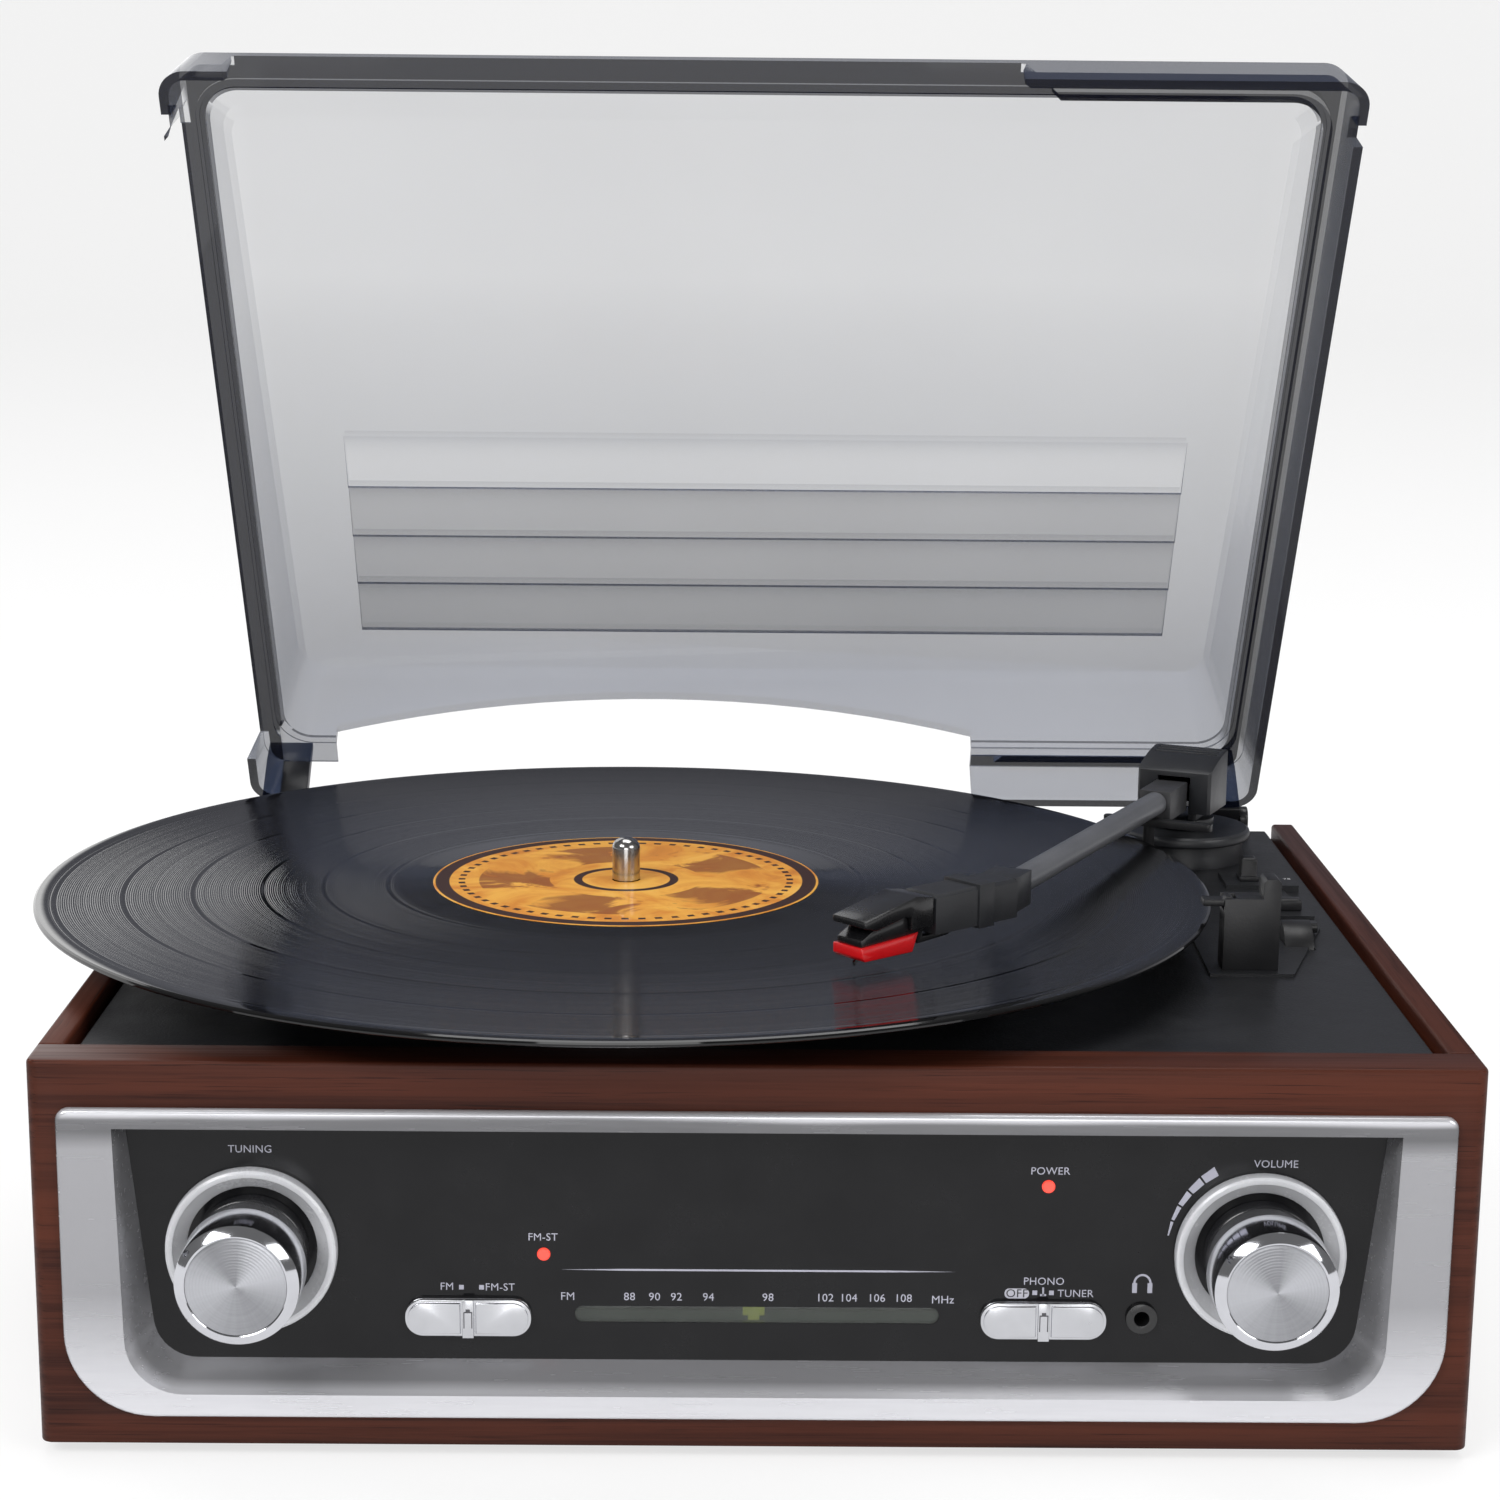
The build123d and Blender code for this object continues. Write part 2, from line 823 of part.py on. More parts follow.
# Drive: motor and plate under the deck, its pulley, and the flat belt round the ring
motor_plate_z = deck_under_z - motor_plate_thickness
with BuildPart() as motor_part:
    with BuildSketch(level(motor_plate_z - motor_height)):
        with Locations((motor_x, motor_y)):
            Circle(motor_radius)
    extrude(amount=motor_height)
    fillet(motor_part.edges().group_by(Axis.Z)[0], 1.5)
    with BuildSketch(level(motor_plate_z)):
        with Locations((motor_x, motor_y)):
            RectangleRounded(2 * motor_plate_reach, 2 * motor_radius, 4)
    extrude(amount=motor_plate_thickness)
    with BuildSketch(level(deck_under_z + 1)):
        with Locations((motor_x, motor_y)):
            Circle(motor_shaft_radius + running_fit)
    extrude(amount=-motor_height / 2, mode=Mode.SUBTRACT)
motor_part.part.label = "motor"
export_step(motor_part.part, "parts/motor.step")

with BuildPart() as pulley_part:
    with BuildSketch(profile_at(motor_x, motor_y)):
        with BuildLine():
            Polyline(
                (0, motor_plate_z - motor_height / 4),
                (motor_shaft_radius, motor_plate_z - motor_height / 4),
                (motor_shaft_radius, belt_low_z - pulley_flange),
                (pulley_radius + pulley_flange, belt_low_z - pulley_flange),
                (pulley_radius, belt_low_z),
                (pulley_radius, belt_low_z + belt_width),
                (pulley_radius + pulley_flange, belt_low_z + belt_width + pulley_flange),
                (0, belt_low_z + belt_width + pulley_flange),
                close=True,
            )
        make_face()
    revolve(axis=upright_axis(motor_x, motor_y))
pulley_part.part.label = "motor_pulley"
export_step(pulley_part.part, "parts/motor_pulley.step")

with BuildPart() as belt_part:
    for belt_gap, belt_mode in ((soft_gap + belt_thickness, Mode.ADD), (soft_gap, Mode.SUBTRACT)):
        with BuildSketch(level(belt_low_z)):
            with Locations((record_x, record_y)):
                Circle(belt_hub_radius + belt_gap)
            with Locations((motor_x, motor_y)):
                Circle(pulley_radius + belt_gap)
            make_hull()
        extrude(amount=belt_width, mode=belt_mode)
belt_part.part.label = "drive_belt"
export_step(belt_part.part, "parts/drive_belt.step")

# Tone arm turret: a drum with a flange disc, its hub set into the deck
turret_top_z = rim_z + turret_top_rise
hub_low_z = deck_under_z - turret_hub_drop
with BuildPart() as turret_part:
    with BuildSketch(profile_at(pivot_x, pivot_y)):
        with BuildLine():
            Polyline(
                (arm_shaft_radius + running_fit, hub_low_z),
                (turret_hub_radius, hub_low_z),
                (turret_hub_radius, plinth_z),
                (turret_radius, plinth_z),
                (turret_radius - 0.6, turret_top_z - turret_flange),
                (turret_flange_radius, turret_top_z - turret_flange),
                (turret_flange_radius, turret_top_z - 1),
                (turret_flange_radius - 1, turret_top_z),
                (arm_shaft_radius + running_fit, turret_top_z),
                close=True,
            )
        make_face()
    revolve(axis=upright_axis(pivot_x, pivot_y))
turret_part.part.label = "arm_turret"
export_step(turret_part.part, "parts/arm_turret.step")


def arm_level(z):
    """Plane facing up on the arm's pivot: x along the arm, y to the viewer's right."""
    return Plane(
        origin=(case_x + pivot_x, front_y + pivot_y, z),
        x_dir=(-sin(swing), -cos(swing), 0),
        z_dir=(0, 0, 1),
    )


def arm_side(z):
    """Plane along the arm through its pivot: x along the arm, y up from the height z."""
    return Plane(
        origin=(case_x + pivot_x, front_y + pivot_y, z),
        x_dir=(-sin(swing), -cos(swing), 0),
        z_dir=(-cos(swing), sin(swing), 0),
    )


def across_tube(distance):
    """Plane across the sloping tube, a distance from the pivot: x to the right, y up."""
    return Plane(
        origin=(
            case_x + pivot_x - distance * cos(slope) * sin(swing),
            front_y + pivot_y - distance * cos(slope) * cos(swing),
            arm_axis_z + distance * sin(slope),
        ),
        x_dir=(cos(swing), -sin(swing), 0),
        z_dir=(-sin(swing) * cos(slope), -cos(swing) * cos(slope), sin(slope)),
    )


# Yoke: foot, two cheeks, and the shaft that turns in the turret with its washer and nut
yoke_low_z = turret_top_z + washer_height
cheek_low_z = yoke_low_z + yoke_foot
cheek_top_z = rim_z + cover_front_rise - cover_wall - yoke_head_room
cheek_inner = neck_width / 2 + soft_gap
cheek_outer = cheek_inner + cheek_thickness
with BuildPart() as yoke_part:
    with BuildSketch(arm_level(hub_low_z - arm_nut_height)):
        Circle(arm_nut_radius)
    extrude(amount=arm_nut_height)
    with BuildSketch(arm_level(hub_low_z)):
        Circle(arm_shaft_radius)
    extrude(amount=turret_top_z - hub_low_z)
    with BuildSketch(arm_level(turret_top_z)):
        Circle(washer_radius)
    extrude(amount=washer_height)
    with BuildSketch(arm_level(yoke_low_z)):
        Circle(yoke_radius)
    extrude(amount=yoke_foot)
    with BuildSketch(arm_level(cheek_low_z)):
        with GridLocations(0, 2 * cheek_inner + cheek_thickness, 1, 2):
            Rectangle(yoke_length, cheek_thickness)
    extrude(amount=cheek_top_z - cheek_low_z)
    with BuildSketch(arm_side(arm_axis_z)):
        Circle(cross_pin_radius)
    extrude(amount=cheek_outer + 1, both=True, mode=Mode.SUBTRACT)
yoke_part.part.label = "arm_yoke"
export_step(yoke_part.part, "parts/arm_yoke.step")

with BuildPart() as pin_part:
    with BuildSketch(arm_side(arm_axis_z)):
        Circle(cross_pin_radius)
    extrude(amount=cheek_outer, both=True)
pin_part.part.label = "arm_pin"
export_step(pin_part.part, "parts/arm_pin.step")


def cover_outline(inset, floor_z):
    """Side view of the pivot cover, shrunk on all sides but the floor."""
    with BuildSketch(arm_side(0)) as outline:
        with BuildLine():
            Polyline(
                (-cover_rear + inset, rim_z + cover_rear_rise - inset),
                (-cover_rear + inset, floor_z),
                (cover_front - inset, floor_z),
                (cover_front - inset, rim_z + cover_front_rise - inset),
            )
            ThreePointArc(
                (cover_front - inset, rim_z + cover_front_rise - inset),
                (0, rim_z + cover_crown_rise - inset),
                (-cover_rear + inset, rim_z + cover_rear_rise - inset),
            )
        make_face()
    return outline.sketch


# Pivot cover: an open-bottomed shell with a mouth for the arm block and three grooves
cover_bottom_z = rim_z + cover_bottom_rise
cover_mouth_top_z = rim_z + cover_front_rise - cover_wall
cover_inner = cover_width / 2 - cover_wall
with BuildPart() as cover_part:
    extrude(cover_outline(0, cover_bottom_z), amount=cover_width / 2, both=True)
    chamfer(cover_part.edges().filter_by(Axis.Z), cover_edge)
    extrude(
        cover_outline(cover_wall, cover_bottom_z - 1),
        amount=cover_inner,
        both=True,
        mode=Mode.SUBTRACT,
    )
    with BuildSketch(arm_level(cover_bottom_z)):
        with GridLocations(0, cheek_outer + cover_inner, 1, 2):
            Rectangle(cover_lug, cover_inner - cheek_outer)
    extrude(amount=arm_axis_z - cover_bottom_z)
    with BuildSketch(arm_level(cover_bottom_z - 1)):
        with Locations((cover_front, 0)):
            Rectangle(4 * cover_wall, block_width + 2 * soft_gap)
    extrude(amount=cover_mouth_top_z - cover_bottom_z + 1, mode=Mode.SUBTRACT)
    with BuildSketch(arm_level(rim_z + cover_rear_rise - ridge_depth)):
        with Locations((ridge_pitch * ridges / 2 - cover_rear + cover_edge, 0)):
            with GridLocations(ridge_pitch, 0, ridges, 1):
                Rectangle(ridge_width, cover_width - 4 * cover_edge)
    extrude(amount=ridge_depth + 1, mode=Mode.SUBTRACT)
cover_part.part.label = "arm_cover"
export_step(cover_part.part, "parts/arm_cover.step")

# Arm block: a neck between the cheeks and the square socket that grips the tube
with BuildPart() as block_part:
    with BuildSketch(arm_side(arm_axis_z)):
        with Locations(((block_step - neck_rear) / 2, 0)):
            Rectangle(block_step + neck_rear, neck_height)
        Circle(cross_pin_radius + running_fit, mode=Mode.SUBTRACT)
    extrude(amount=neck_width / 2, both=True)
    with BuildSketch(arm_side(arm_axis_z)):
        with Locations(((block_step + block_front) / 2, 0)):
            Rectangle(block_front - block_step, block_height)
    extrude(amount=block_width / 2, both=True)
    with BuildSketch(across_tube(block_front - tube_grip)):
        Circle(tube_radius)
    extrude(amount=2 * tube_grip, mode=Mode.SUBTRACT)
block_part.part.label = "arm_block"
export_step(block_part.part, "parts/arm_block.step")

with BuildPart() as tube_part:
    with BuildSketch(across_tube(block_front - tube_grip)):
        Circle(tube_radius)
        Circle(tube_bore, mode=Mode.SUBTRACT)
    extrude(amount=head_joint - block_front + tube_grip)
tube_part.part.label = "arm_tube"
export_step(tube_part.part, "parts/arm_tube.step")

# The head bends inwards from the tube's end
head_turn = radians(head_angle)
head_x = pivot_x - head_joint * cos(slope) * sin(swing)
head_y = pivot_y - head_joint * cos(slope) * cos(swing)


def head_side(z):
    """Plane along the head, through its middle: x forward, y up from the height z."""
    return Plane(
        origin=(case_x + head_x, front_y + head_y, z),
        x_dir=(-sin(head_turn), -cos(head_turn), 0),
        z_dir=(-cos(head_turn), sin(head_turn), 0),
    )


def head_level(z):
    """Plane facing up on the head: x forward, y to the viewer's right."""
    return Plane(
        origin=(case_x + head_x, front_y + head_y, z),
        x_dir=(-sin(head_turn), -cos(head_turn), 0),
        z_dir=(0, 0, 1),
    )


# Head socket: collar on the tube, bent block, and the spring clip that holds the shell
socket_low_z = rim_z + socket_bottom_rise
socket_top_z = rim_z + socket_top_rise
socket_height = socket_top_z - socket_low_z
collar_end = collar_start + collar_length
with BuildPart() as socket_part:
    with BuildSketch(head_level(socket_low_z)):
        with Locations(((socket_rear + socket_front) / 2, 0)):
            Rectangle(socket_front - socket_rear, head_width)
    extrude(amount=socket_height)
    chamfer(socket_part.faces().sort_by(Axis.Z)[-1].edges(), socket_edge)
    with BuildSketch(across_tube(collar_start)):
        Rectangle(collar_width, collar_height)
    extrude(amount=head_joint - collar_start)
    with BuildSketch(across_tube(collar_end)):
        Rectangle(3 * collar_width, 3 * collar_height)
        Circle(tube_radius + 1, mode=Mode.SUBTRACT)
    extrude(amount=(head_joint - collar_end) / 3, mode=Mode.SUBTRACT)
    with BuildSketch(head_level(socket_low_z - clip_skin)):
        with Locations((clip_start + clip_length / 2, 0)):
            Rectangle(clip_length, head_width + 2 * clip_skin)
    extrude(amount=socket_height + 2 * clip_skin)
    with BuildSketch(across_tube(collar_start - 1)):
        Circle(tube_radius)
    extrude(amount=head_joint - collar_start + 1, mode=Mode.SUBTRACT)
socket_part.part.label = "head_socket"
export_step(socket_part.part, "parts/head_socket.step")

# Headshell: an open-bottomed wedge with arched sides and a tongue into the socket
shell_low_z = rim_z + shell_bottom_rise
shell_rear_z = rim_z + shell_rear_rise
shell_nose_z = rim_z + shell_front_rise
shell_lip_z = rim_z + shell_nose_bottom_rise
arch_x = shell_start + shell_arch
with BuildPart() as shell_part:
    with BuildSketch(head_side(0)):
        with BuildLine():
            Polyline(
                (shell_start, shell_low_z),
                (arch_x, shell_low_z),
                (arch_x, shell_low_z + 3.2),
                (arch_x + 2, shell_low_z + 3.6),
                (shell_front - 4, shell_lip_z - 1),
                (shell_front, shell_lip_z),
                (shell_front, shell_nose_z),
                (shell_start + shell_flat, shell_rear_z),
                (shell_start, shell_rear_z - 0.8),
                close=True,
            )
        make_face()
    extrude(amount=head_width / 2, both=True)
    with BuildSketch(head_side(0)):
        with BuildLine():
            Polyline(
                (shell_start + shell_wall, shell_low_z - 1),
                (shell_front - shell_wall, shell_low_z - 1),
                (shell_front - shell_wall, shell_nose_z - shell_wall),
                (shell_start + shell_flat, shell_rear_z - 1.3 * shell_wall),
                (shell_start + shell_wall, shell_rear_z - 1.7 * shell_wall),
                close=True,
            )
        make_face()
    extrude(amount=head_width / 2 - shell_wall, both=True, mode=Mode.SUBTRACT)
    with BuildSketch(head_side((socket_low_z + socket_top_z) / 2)):
        with Locations(((shell_start + socket_front) / 2, 0)):
            Rectangle(shell_start - socket_front, socket_height / 2)
    extrude(amount=head_width / 3, both=True)
shell_part.part.label = "headshell"
export_step(shell_part.part, "parts/headshell.step")

# Cartridge: the wedge inside the shell, with a tail that reaches back under the socket
holder_front_z = rim_z + holder_front_rise
holder_rear_z = rim_z + holder_rear_rise
tail_low_z = rim_z + tail_bottom_rise
tail_top_z = socket_low_z - clip_skin
cartridge_top_z = rim_z + cartridge_top_rise
with BuildPart() as cartridge_part:
    with BuildSketch(head_side(0)):
        with BuildLine():
            Polyline(
                (cartridge_start, holder_rear_z),
                (holder_start, holder_rear_z),
                (cartridge_front, holder_front_z),
                (cartridge_front, holder_front_z + 1.6),
                (cartridge_front - 3.5, rim_z + cartridge_nose_rise),
                (arch_x + 2, cartridge_top_z),
                (cartridge_start, cartridge_top_z),
                close=True,
            )
        make_face()
    extrude(amount=head_width / 2 - shell_wall, both=True)
    with BuildSketch(head_side(0)):
        with BuildLine():
            Polyline(
                (tail_start, tail_low_z),
                (holder_start, tail_low_z - 0.6),
                (holder_start, holder_rear_z + 0.8),
                (cartridge_start - 1, holder_rear_z + 0.8),
                (cartridge_start - 1, tail_top_z),
                (tail_start, tail_top_z),
                close=True,
            )
        make_face()
    extrude(amount=tail_width / 2, both=True)
cartridge_part.part.label = "cartridge"
export_step(cartridge_part.part, "parts/cartridge.step")

# Stylus holder: the red carrier under the cartridge, narrowed at its rear corners
holder_low_z = rim_z + holder_bottom_rise
stylus_root_z = holder_low_z + 3 * stylus_radius
with BuildPart() as holder_part:
    with BuildSketch(head_side(0)):
        with BuildLine():
            Polyline(
                (holder_start + holder_slant, holder_low_z),
                (holder_front - 1, holder_low_z),
                (holder_front, holder_low_z + 1),
                (holder_front, holder_front_z),
                (cartridge_front, holder_front_z),
                (holder_start, holder_rear_z),
                close=True,
            )
        make_face()
    extrude(amount=holder_width / 2, both=True)
    with BuildSketch(head_side(holder_low_z)):
        with Locations((stylus_root + 1.5, 0)):
            Rectangle(4.4, 6 * stylus_radius)
    extrude(amount=2 * stylus_radius, both=True, mode=Mode.SUBTRACT)
    with BuildSketch(head_level(holder_low_z - 1)):
        with BuildLine():
            Polyline(
                (holder_start - 1, holder_width / 4),
                (holder_start - 1, holder_width),
                (holder_start + holder_slant, holder_width),
                (holder_start + holder_slant, holder_width / 2),
                close=True,
            )
        make_face()
        mirror(about=Plane.XZ)
    extrude(amount=holder_rear_z - holder_low_z + 2, mode=Mode.SUBTRACT)
holder_part.part.label = "stylus_holder"
export_step(holder_part.part, "parts/stylus_holder.step")

# Stylus: the thin cantilever with its tip, held just above the record
tip_z = record_top_z + stylus_lift
cantilever_z = tip_z + 0.9
with BuildPart() as stylus_part:
    with BuildSketch(head_side(0)):
        with BuildLine():
            Polyline(
                (stylus_root - stylus_radius, stylus_root_z),
                (stylus_root + stylus_radius, stylus_root_z),
                (stylus_reach, cantilever_z + stylus_radius),
                (stylus_reach + stylus_radius, cantilever_z),
                (stylus_reach, tip_z),
                (stylus_reach - stylus_radius, cantilever_z - stylus_radius),
                (stylus_root - stylus_radius, stylus_root_z - stylus_radius),
                close=True,
            )
        make_face()
    extrude(amount=stylus_radius, both=True)
stylus_part.part.label = "stylus"
export_step(stylus_part.part, "parts/stylus.step")

# Arm rest: a post with a high right wall, and a slot at the left for the keeper
rest_floor_z = rim_z + rest_floor_rise
rest_top_z = rim_z + rest_right_rise
keeper_x = rest_left + keeper_inset
keeper_z = rest_floor_z - keeper_drop
keeper_slot = 4 * keeper_hub_radius + 2 * soft_gap
with BuildPart() as rest_part:
    with BuildSketch(upright(rest_y)):
        with BuildLine():
            Polyline(
                (rest_left, plinth_z),
                (rest_right, plinth_z),
                (rest_right, rest_top_z - rest_edge),
                (rest_right - rest_edge, rest_top_z),
                (rest_right - rest_right_wall + rest_edge, rest_top_z),
                (rest_right - rest_right_wall, rest_top_z - rest_edge),
                (rest_right - rest_right_wall, rest_floor_z),
                (rest_left, rest_floor_z),
                close=True,
            )
        make_face()
    extrude(amount=rest_depth / 2, both=True)
    with BuildSketch(upright(rest_y)):
        with Locations((keeper_x - keeper_hub_radius, keeper_z + keeper_hub_radius)):
            Rectangle(keeper_slot, keeper_slot)
    extrude(amount=keeper_width / 2 + soft_gap, both=True, mode=Mode.SUBTRACT)
    with BuildSketch(upright(rest_y)):
        with Locations((keeper_x, keeper_z)):
            Circle(keeper_pin_radius + running_fit)
    extrude(amount=keeper_width / 2 + keeper_pin_length + 0.1, both=True, mode=Mode.SUBTRACT)
rest_part.part.label = "arm_rest"
export_step(rest_part.part, "parts/arm_rest.step")

with BuildPart() as keeper_part:
    with BuildSketch(upright(rest_y)):
        with Locations((keeper_x, keeper_z)):
            Circle(keeper_hub_radius)
        with Locations((keeper_x - keeper_length / 2, keeper_z)):
            Rectangle(keeper_length, keeper_thickness)
    extrude(amount=keeper_width / 2, both=True)
    with BuildSketch(upright(rest_y)):
        with Locations((keeper_x, keeper_z)):
            Circle(keeper_pin_radius)
    extrude(amount=keeper_width / 2 + keeper_pin_length, both=True)
keeper_part.part.label = "arm_keeper"
export_step(keeper_part.part, "parts/arm_keeper.step")

# Cueing lever: a wheel that stands out of its slot, with a finger paddle at the right
paddle_reach = cue_radius - paddle_radius / 2
paddle_y = cue_y + paddle_reach * sin(radians(paddle_turn))
paddle_z = cue_z + paddle_reach * cos(radians(paddle_turn)) - paddle_radius
with BuildPart() as cue_part:
    with BuildSketch(sideways(cue_x)):
        with Locations((cue_y, cue_z)):
            Circle(cue_radius)
        with Locations((cue_y + cue_radius / 2, cue_z + cue_radius)):
            Rectangle(cue_radius, cue_pocket, mode=Mode.SUBTRACT)
    extrude(amount=cue_width / 2, both=True)
    with BuildSketch(sideways(cue_x)):
        with Locations((cue_y, cue_z)):
            Circle(cue_pin_radius)
    extrude(amount=cue_slot_width / 2 + cue_ear, both=True)
    with BuildSketch(sideways(cue_x)):
        with Locations((paddle_y, paddle_z)):
            SlotCenterToCenter(2 * paddle_radius, 2 * paddle_radius)
    extrude(amount=cue_width / 2 + paddle_length)
cue_part.part.label = "cue_lever"
export_step(cue_part.part, "parts/cue_lever.step")

# Arm lift: the pad under the tube on its post
tube_rise = (lift_distance - lift_pad_width / 2) * tan(slope) - tube_radius / cos(slope)
lift_pad_top_z = arm_axis_z + tube_rise - running_fit
lift_pad_low_z = lift_pad_top_z - lift_pad_height
with BuildPart() as lift_part:
    with BuildSketch(arm_level(lift_pad_low_z)):
        with Locations((lift_distance, (lift_pad_right - lift_pad_left) / 2)):
            RectangleRounded(lift_pad_width, lift_pad_left + lift_pad_right, 1)
    extrude(amount=lift_pad_height)
    with BuildSketch(level(rim_z - lift_post_drop)):
        with Locations((lift_x, lift_y)):
            Circle(lift_post_radius)
    extrude(amount=lift_pad_low_z - rim_z + lift_post_drop)
lift_part.part.label = "lift_platform"
export_step(lift_part.part, "parts/lift_platform.step")

# Deck switches: speed selector and auto stop
with BuildPart() as speed_part:
    with BuildSketch(level(pad_z)):
        with Locations((speed_x, speed_y)):
            Rectangle(speed_knob_width, speed_knob_depth)
    extrude(amount=speed_knob_height)
    chamfer(speed_part.faces().sort_by(Axis.Z)[-1].edges(), edge_break)
    with BuildSketch(level(pad_z)):
        with Locations((speed_x, speed_y)):
            Rectangle(speed_knob_width + 1, speed_knob_depth + 2)
    extrude(amount=speed_foot)
    with BuildSketch(level(pad_z)):
        with Locations((speed_x, speed_y)):
            Rectangle(switch_stem, switch_stem)
    extrude(amount=-switch_stem_drop)
speed_part.part.label = "speed_knob"
export_step(speed_part.part, "parts/speed_knob.step")

with BuildPart() as stop_part:
    with BuildSketch(level(pad_z)):
        with Locations((stop_x, stop_y - stop_travel / 2)):
            Rectangle(stop_knob_width, stop_knob_depth)
    extrude(amount=stop_knob_height)
    chamfer(stop_part.faces().sort_by(Axis.Z)[-1].edges(), edge_break)
    with BuildSketch(level(pad_z)):
        with Locations((stop_x, stop_y - stop_travel / 2)):
            Rectangle(switch_stem, switch_stem)
    extrude(amount=-switch_stem_drop)
stop_part.part.label = "stop_knob"
export_step(stop_part.part, "parts/stop_knob.step")


def panel_outline(y, half_top, taper, bottom, top, corner, top_corner=0):
    """Outline on the front of the case: wider at the top, with rounded lower corners."""
    with BuildSketch(upright(y)) as outline:
        with BuildLine():
            Polyline(
                (-half_top, case_bottom + top),
                (-half_top + taper, case_bottom + bottom),
                (half_top - taper, case_bottom + bottom),
                (half_top, case_bottom + top),
                close=True,
            )
        make_face()
        fillet(outline.vertices().group_by(Axis.Y)[0], corner)
        if top_corner:
            fillet(outline.vertices().group_by(Axis.Y)[-1], top_corner)
    return outline.sketch


# Bezel: the silver frame, its body in the board's opening and its sloping inner walls
bezel_front = panel_outline(
    0, bezel_half_width, 0, bezel_bottom, bezel_top, bezel_bottom_corner, bezel_top_corner
)
bezel_mouth = panel_outline(
    -bezel_proud, mouth_half_width, mouth_taper, mouth_bottom, mouth_top, mouth_corner
)
bezel_face = panel_outline(
    fascia_y, face_half_width, face_taper, face_bottom, face_top, face_corner
)
with BuildPart() as bezel_part:
    extrude(bezel_front, amount=bezel_proud)
    fillet(bezel_part.faces().sort_by(Axis.Y)[0].edges(), bezel_edge_round)
    with BuildSketch(upright(0)):
        with Locations((0, opening_z)):
            RectangleRounded(
                2 * (opening_half_width - slide_gap),
                opening_height - 2 * slide_gap,
                opening_corner - slide_gap,
            )
    extrude(amount=-bezel_back_y)
    loft([bezel_mouth, bezel_face], mode=Mode.SUBTRACT)
    with BuildSketch(upright(fascia_y)):
        with Locations((0, opening_z)):
            RectangleRounded(
                2 * (opening_half_width - fascia_margin),
                opening_height - 2 * fascia_margin,
                opening_corner - fascia_margin,
            )
    extrude(amount=-(bezel_back_y - fascia_y), mode=Mode.SUBTRACT)
bezel_part.part.label = "bezel"
export_step(bezel_part.part, "parts/bezel.step")

# Fascia: the glossy black plate with the holes for all controls, and its board posts
knob_z = case_bottom + knob_height
switch_z = case_bottom + switch_height
dial_z = case_bottom + dial_height
jack_z = case_bottom + jack_height
stereo_lamp_z = case_bottom + stereo_lamp_height
power_lamp_z = case_bottom + power_lamp_height
fascia_height = opening_height - 2 * fascia_margin - slide_gap
fascia_width = 2 * (opening_half_width - fascia_margin) - slide_gap
with BuildPart() as fascia_part:
    with BuildSketch(upright(fascia_y)):
        with Locations((0, opening_z)):
            RectangleRounded(fascia_width, fascia_height, opening_corner - fascia_margin)
        with Locations((-knob_x, knob_z), (knob_x, knob_z)):
            Circle(knob_shaft_radius + soft_gap, mode=Mode.SUBTRACT)
        with Locations((-switch_x, switch_z), (switch_x, switch_z)):
            Rectangle(pill_slot_length, pill_slot_width, mode=Mode.SUBTRACT)
        with Locations((dial_x, dial_z)):
            RectangleRounded(dial_length, dial_width, dial_width / 2.1, mode=Mode.SUBTRACT)
        with Locations((jack_x, jack_z)):
            Circle(jack_barrel_radius + running_fit, mode=Mode.SUBTRACT)
        with Locations((stereo_lamp_x, stereo_lamp_z), (power_lamp_x, power_lamp_z)):
            Circle(lamp_radius + running_fit, mode=Mode.SUBTRACT)
    extrude(amount=-fascia_thickness)
    with BuildSketch(upright(fascia_back_y)):
        with Locations((0, opening_z)):
            with GridLocations(2 * fascia_post_x, fascia_height - 2 * fascia_post_inset, 2, 2):
                Circle(fascia_post_radius)
    extrude(amount=-(panel_board_y - fascia_back_y))
fascia_part.part.label = "fascia"
export_step(fascia_part.part, "parts/fascia.step")

with BuildPart() as window_part:
    with BuildSketch(upright(fascia_y + slide_gap)):
        with Locations((dial_x, dial_z)):
            RectangleRounded(
                dial_length - 2 * running_fit, dial_width - 2 * running_fit, dial_width / 2.2
            )
    extrude(amount=-dial_window_thickness)
window_part.part.label = "dial_window"
export_step(window_part.part, "parts/dial_window.step")

# Dial pointer on its rail behind the window
pointer_y = fascia_back_y + dial_pointer_gap
rail_y = pointer_y + dial_pointer_thickness + pointer_hub_radius - 0.4
rail_half = dial_travel + pointer_hub_length
with BuildPart() as rail_part:
    with BuildSketch(sideways(dial_pointer_x)):
        with Locations((rail_y, dial_z)):
            Circle(pointer_rail_radius)
    extrude(amount=rail_half, both=True)
    with BuildSketch(upright(rail_y - 2 * pointer_rail_radius)):
        with Locations((dial_pointer_x, dial_z)):
            with GridLocations(2 * (rail_half + pointer_rail_radius), 0, 2, 1):
                Circle(2 * pointer_rail_radius)
    extrude(amount=-(panel_board_y - rail_y + 2 * pointer_rail_radius))
rail_part.part.label = "pointer_rail"
export_step(rail_part.part, "parts/pointer_rail.step")

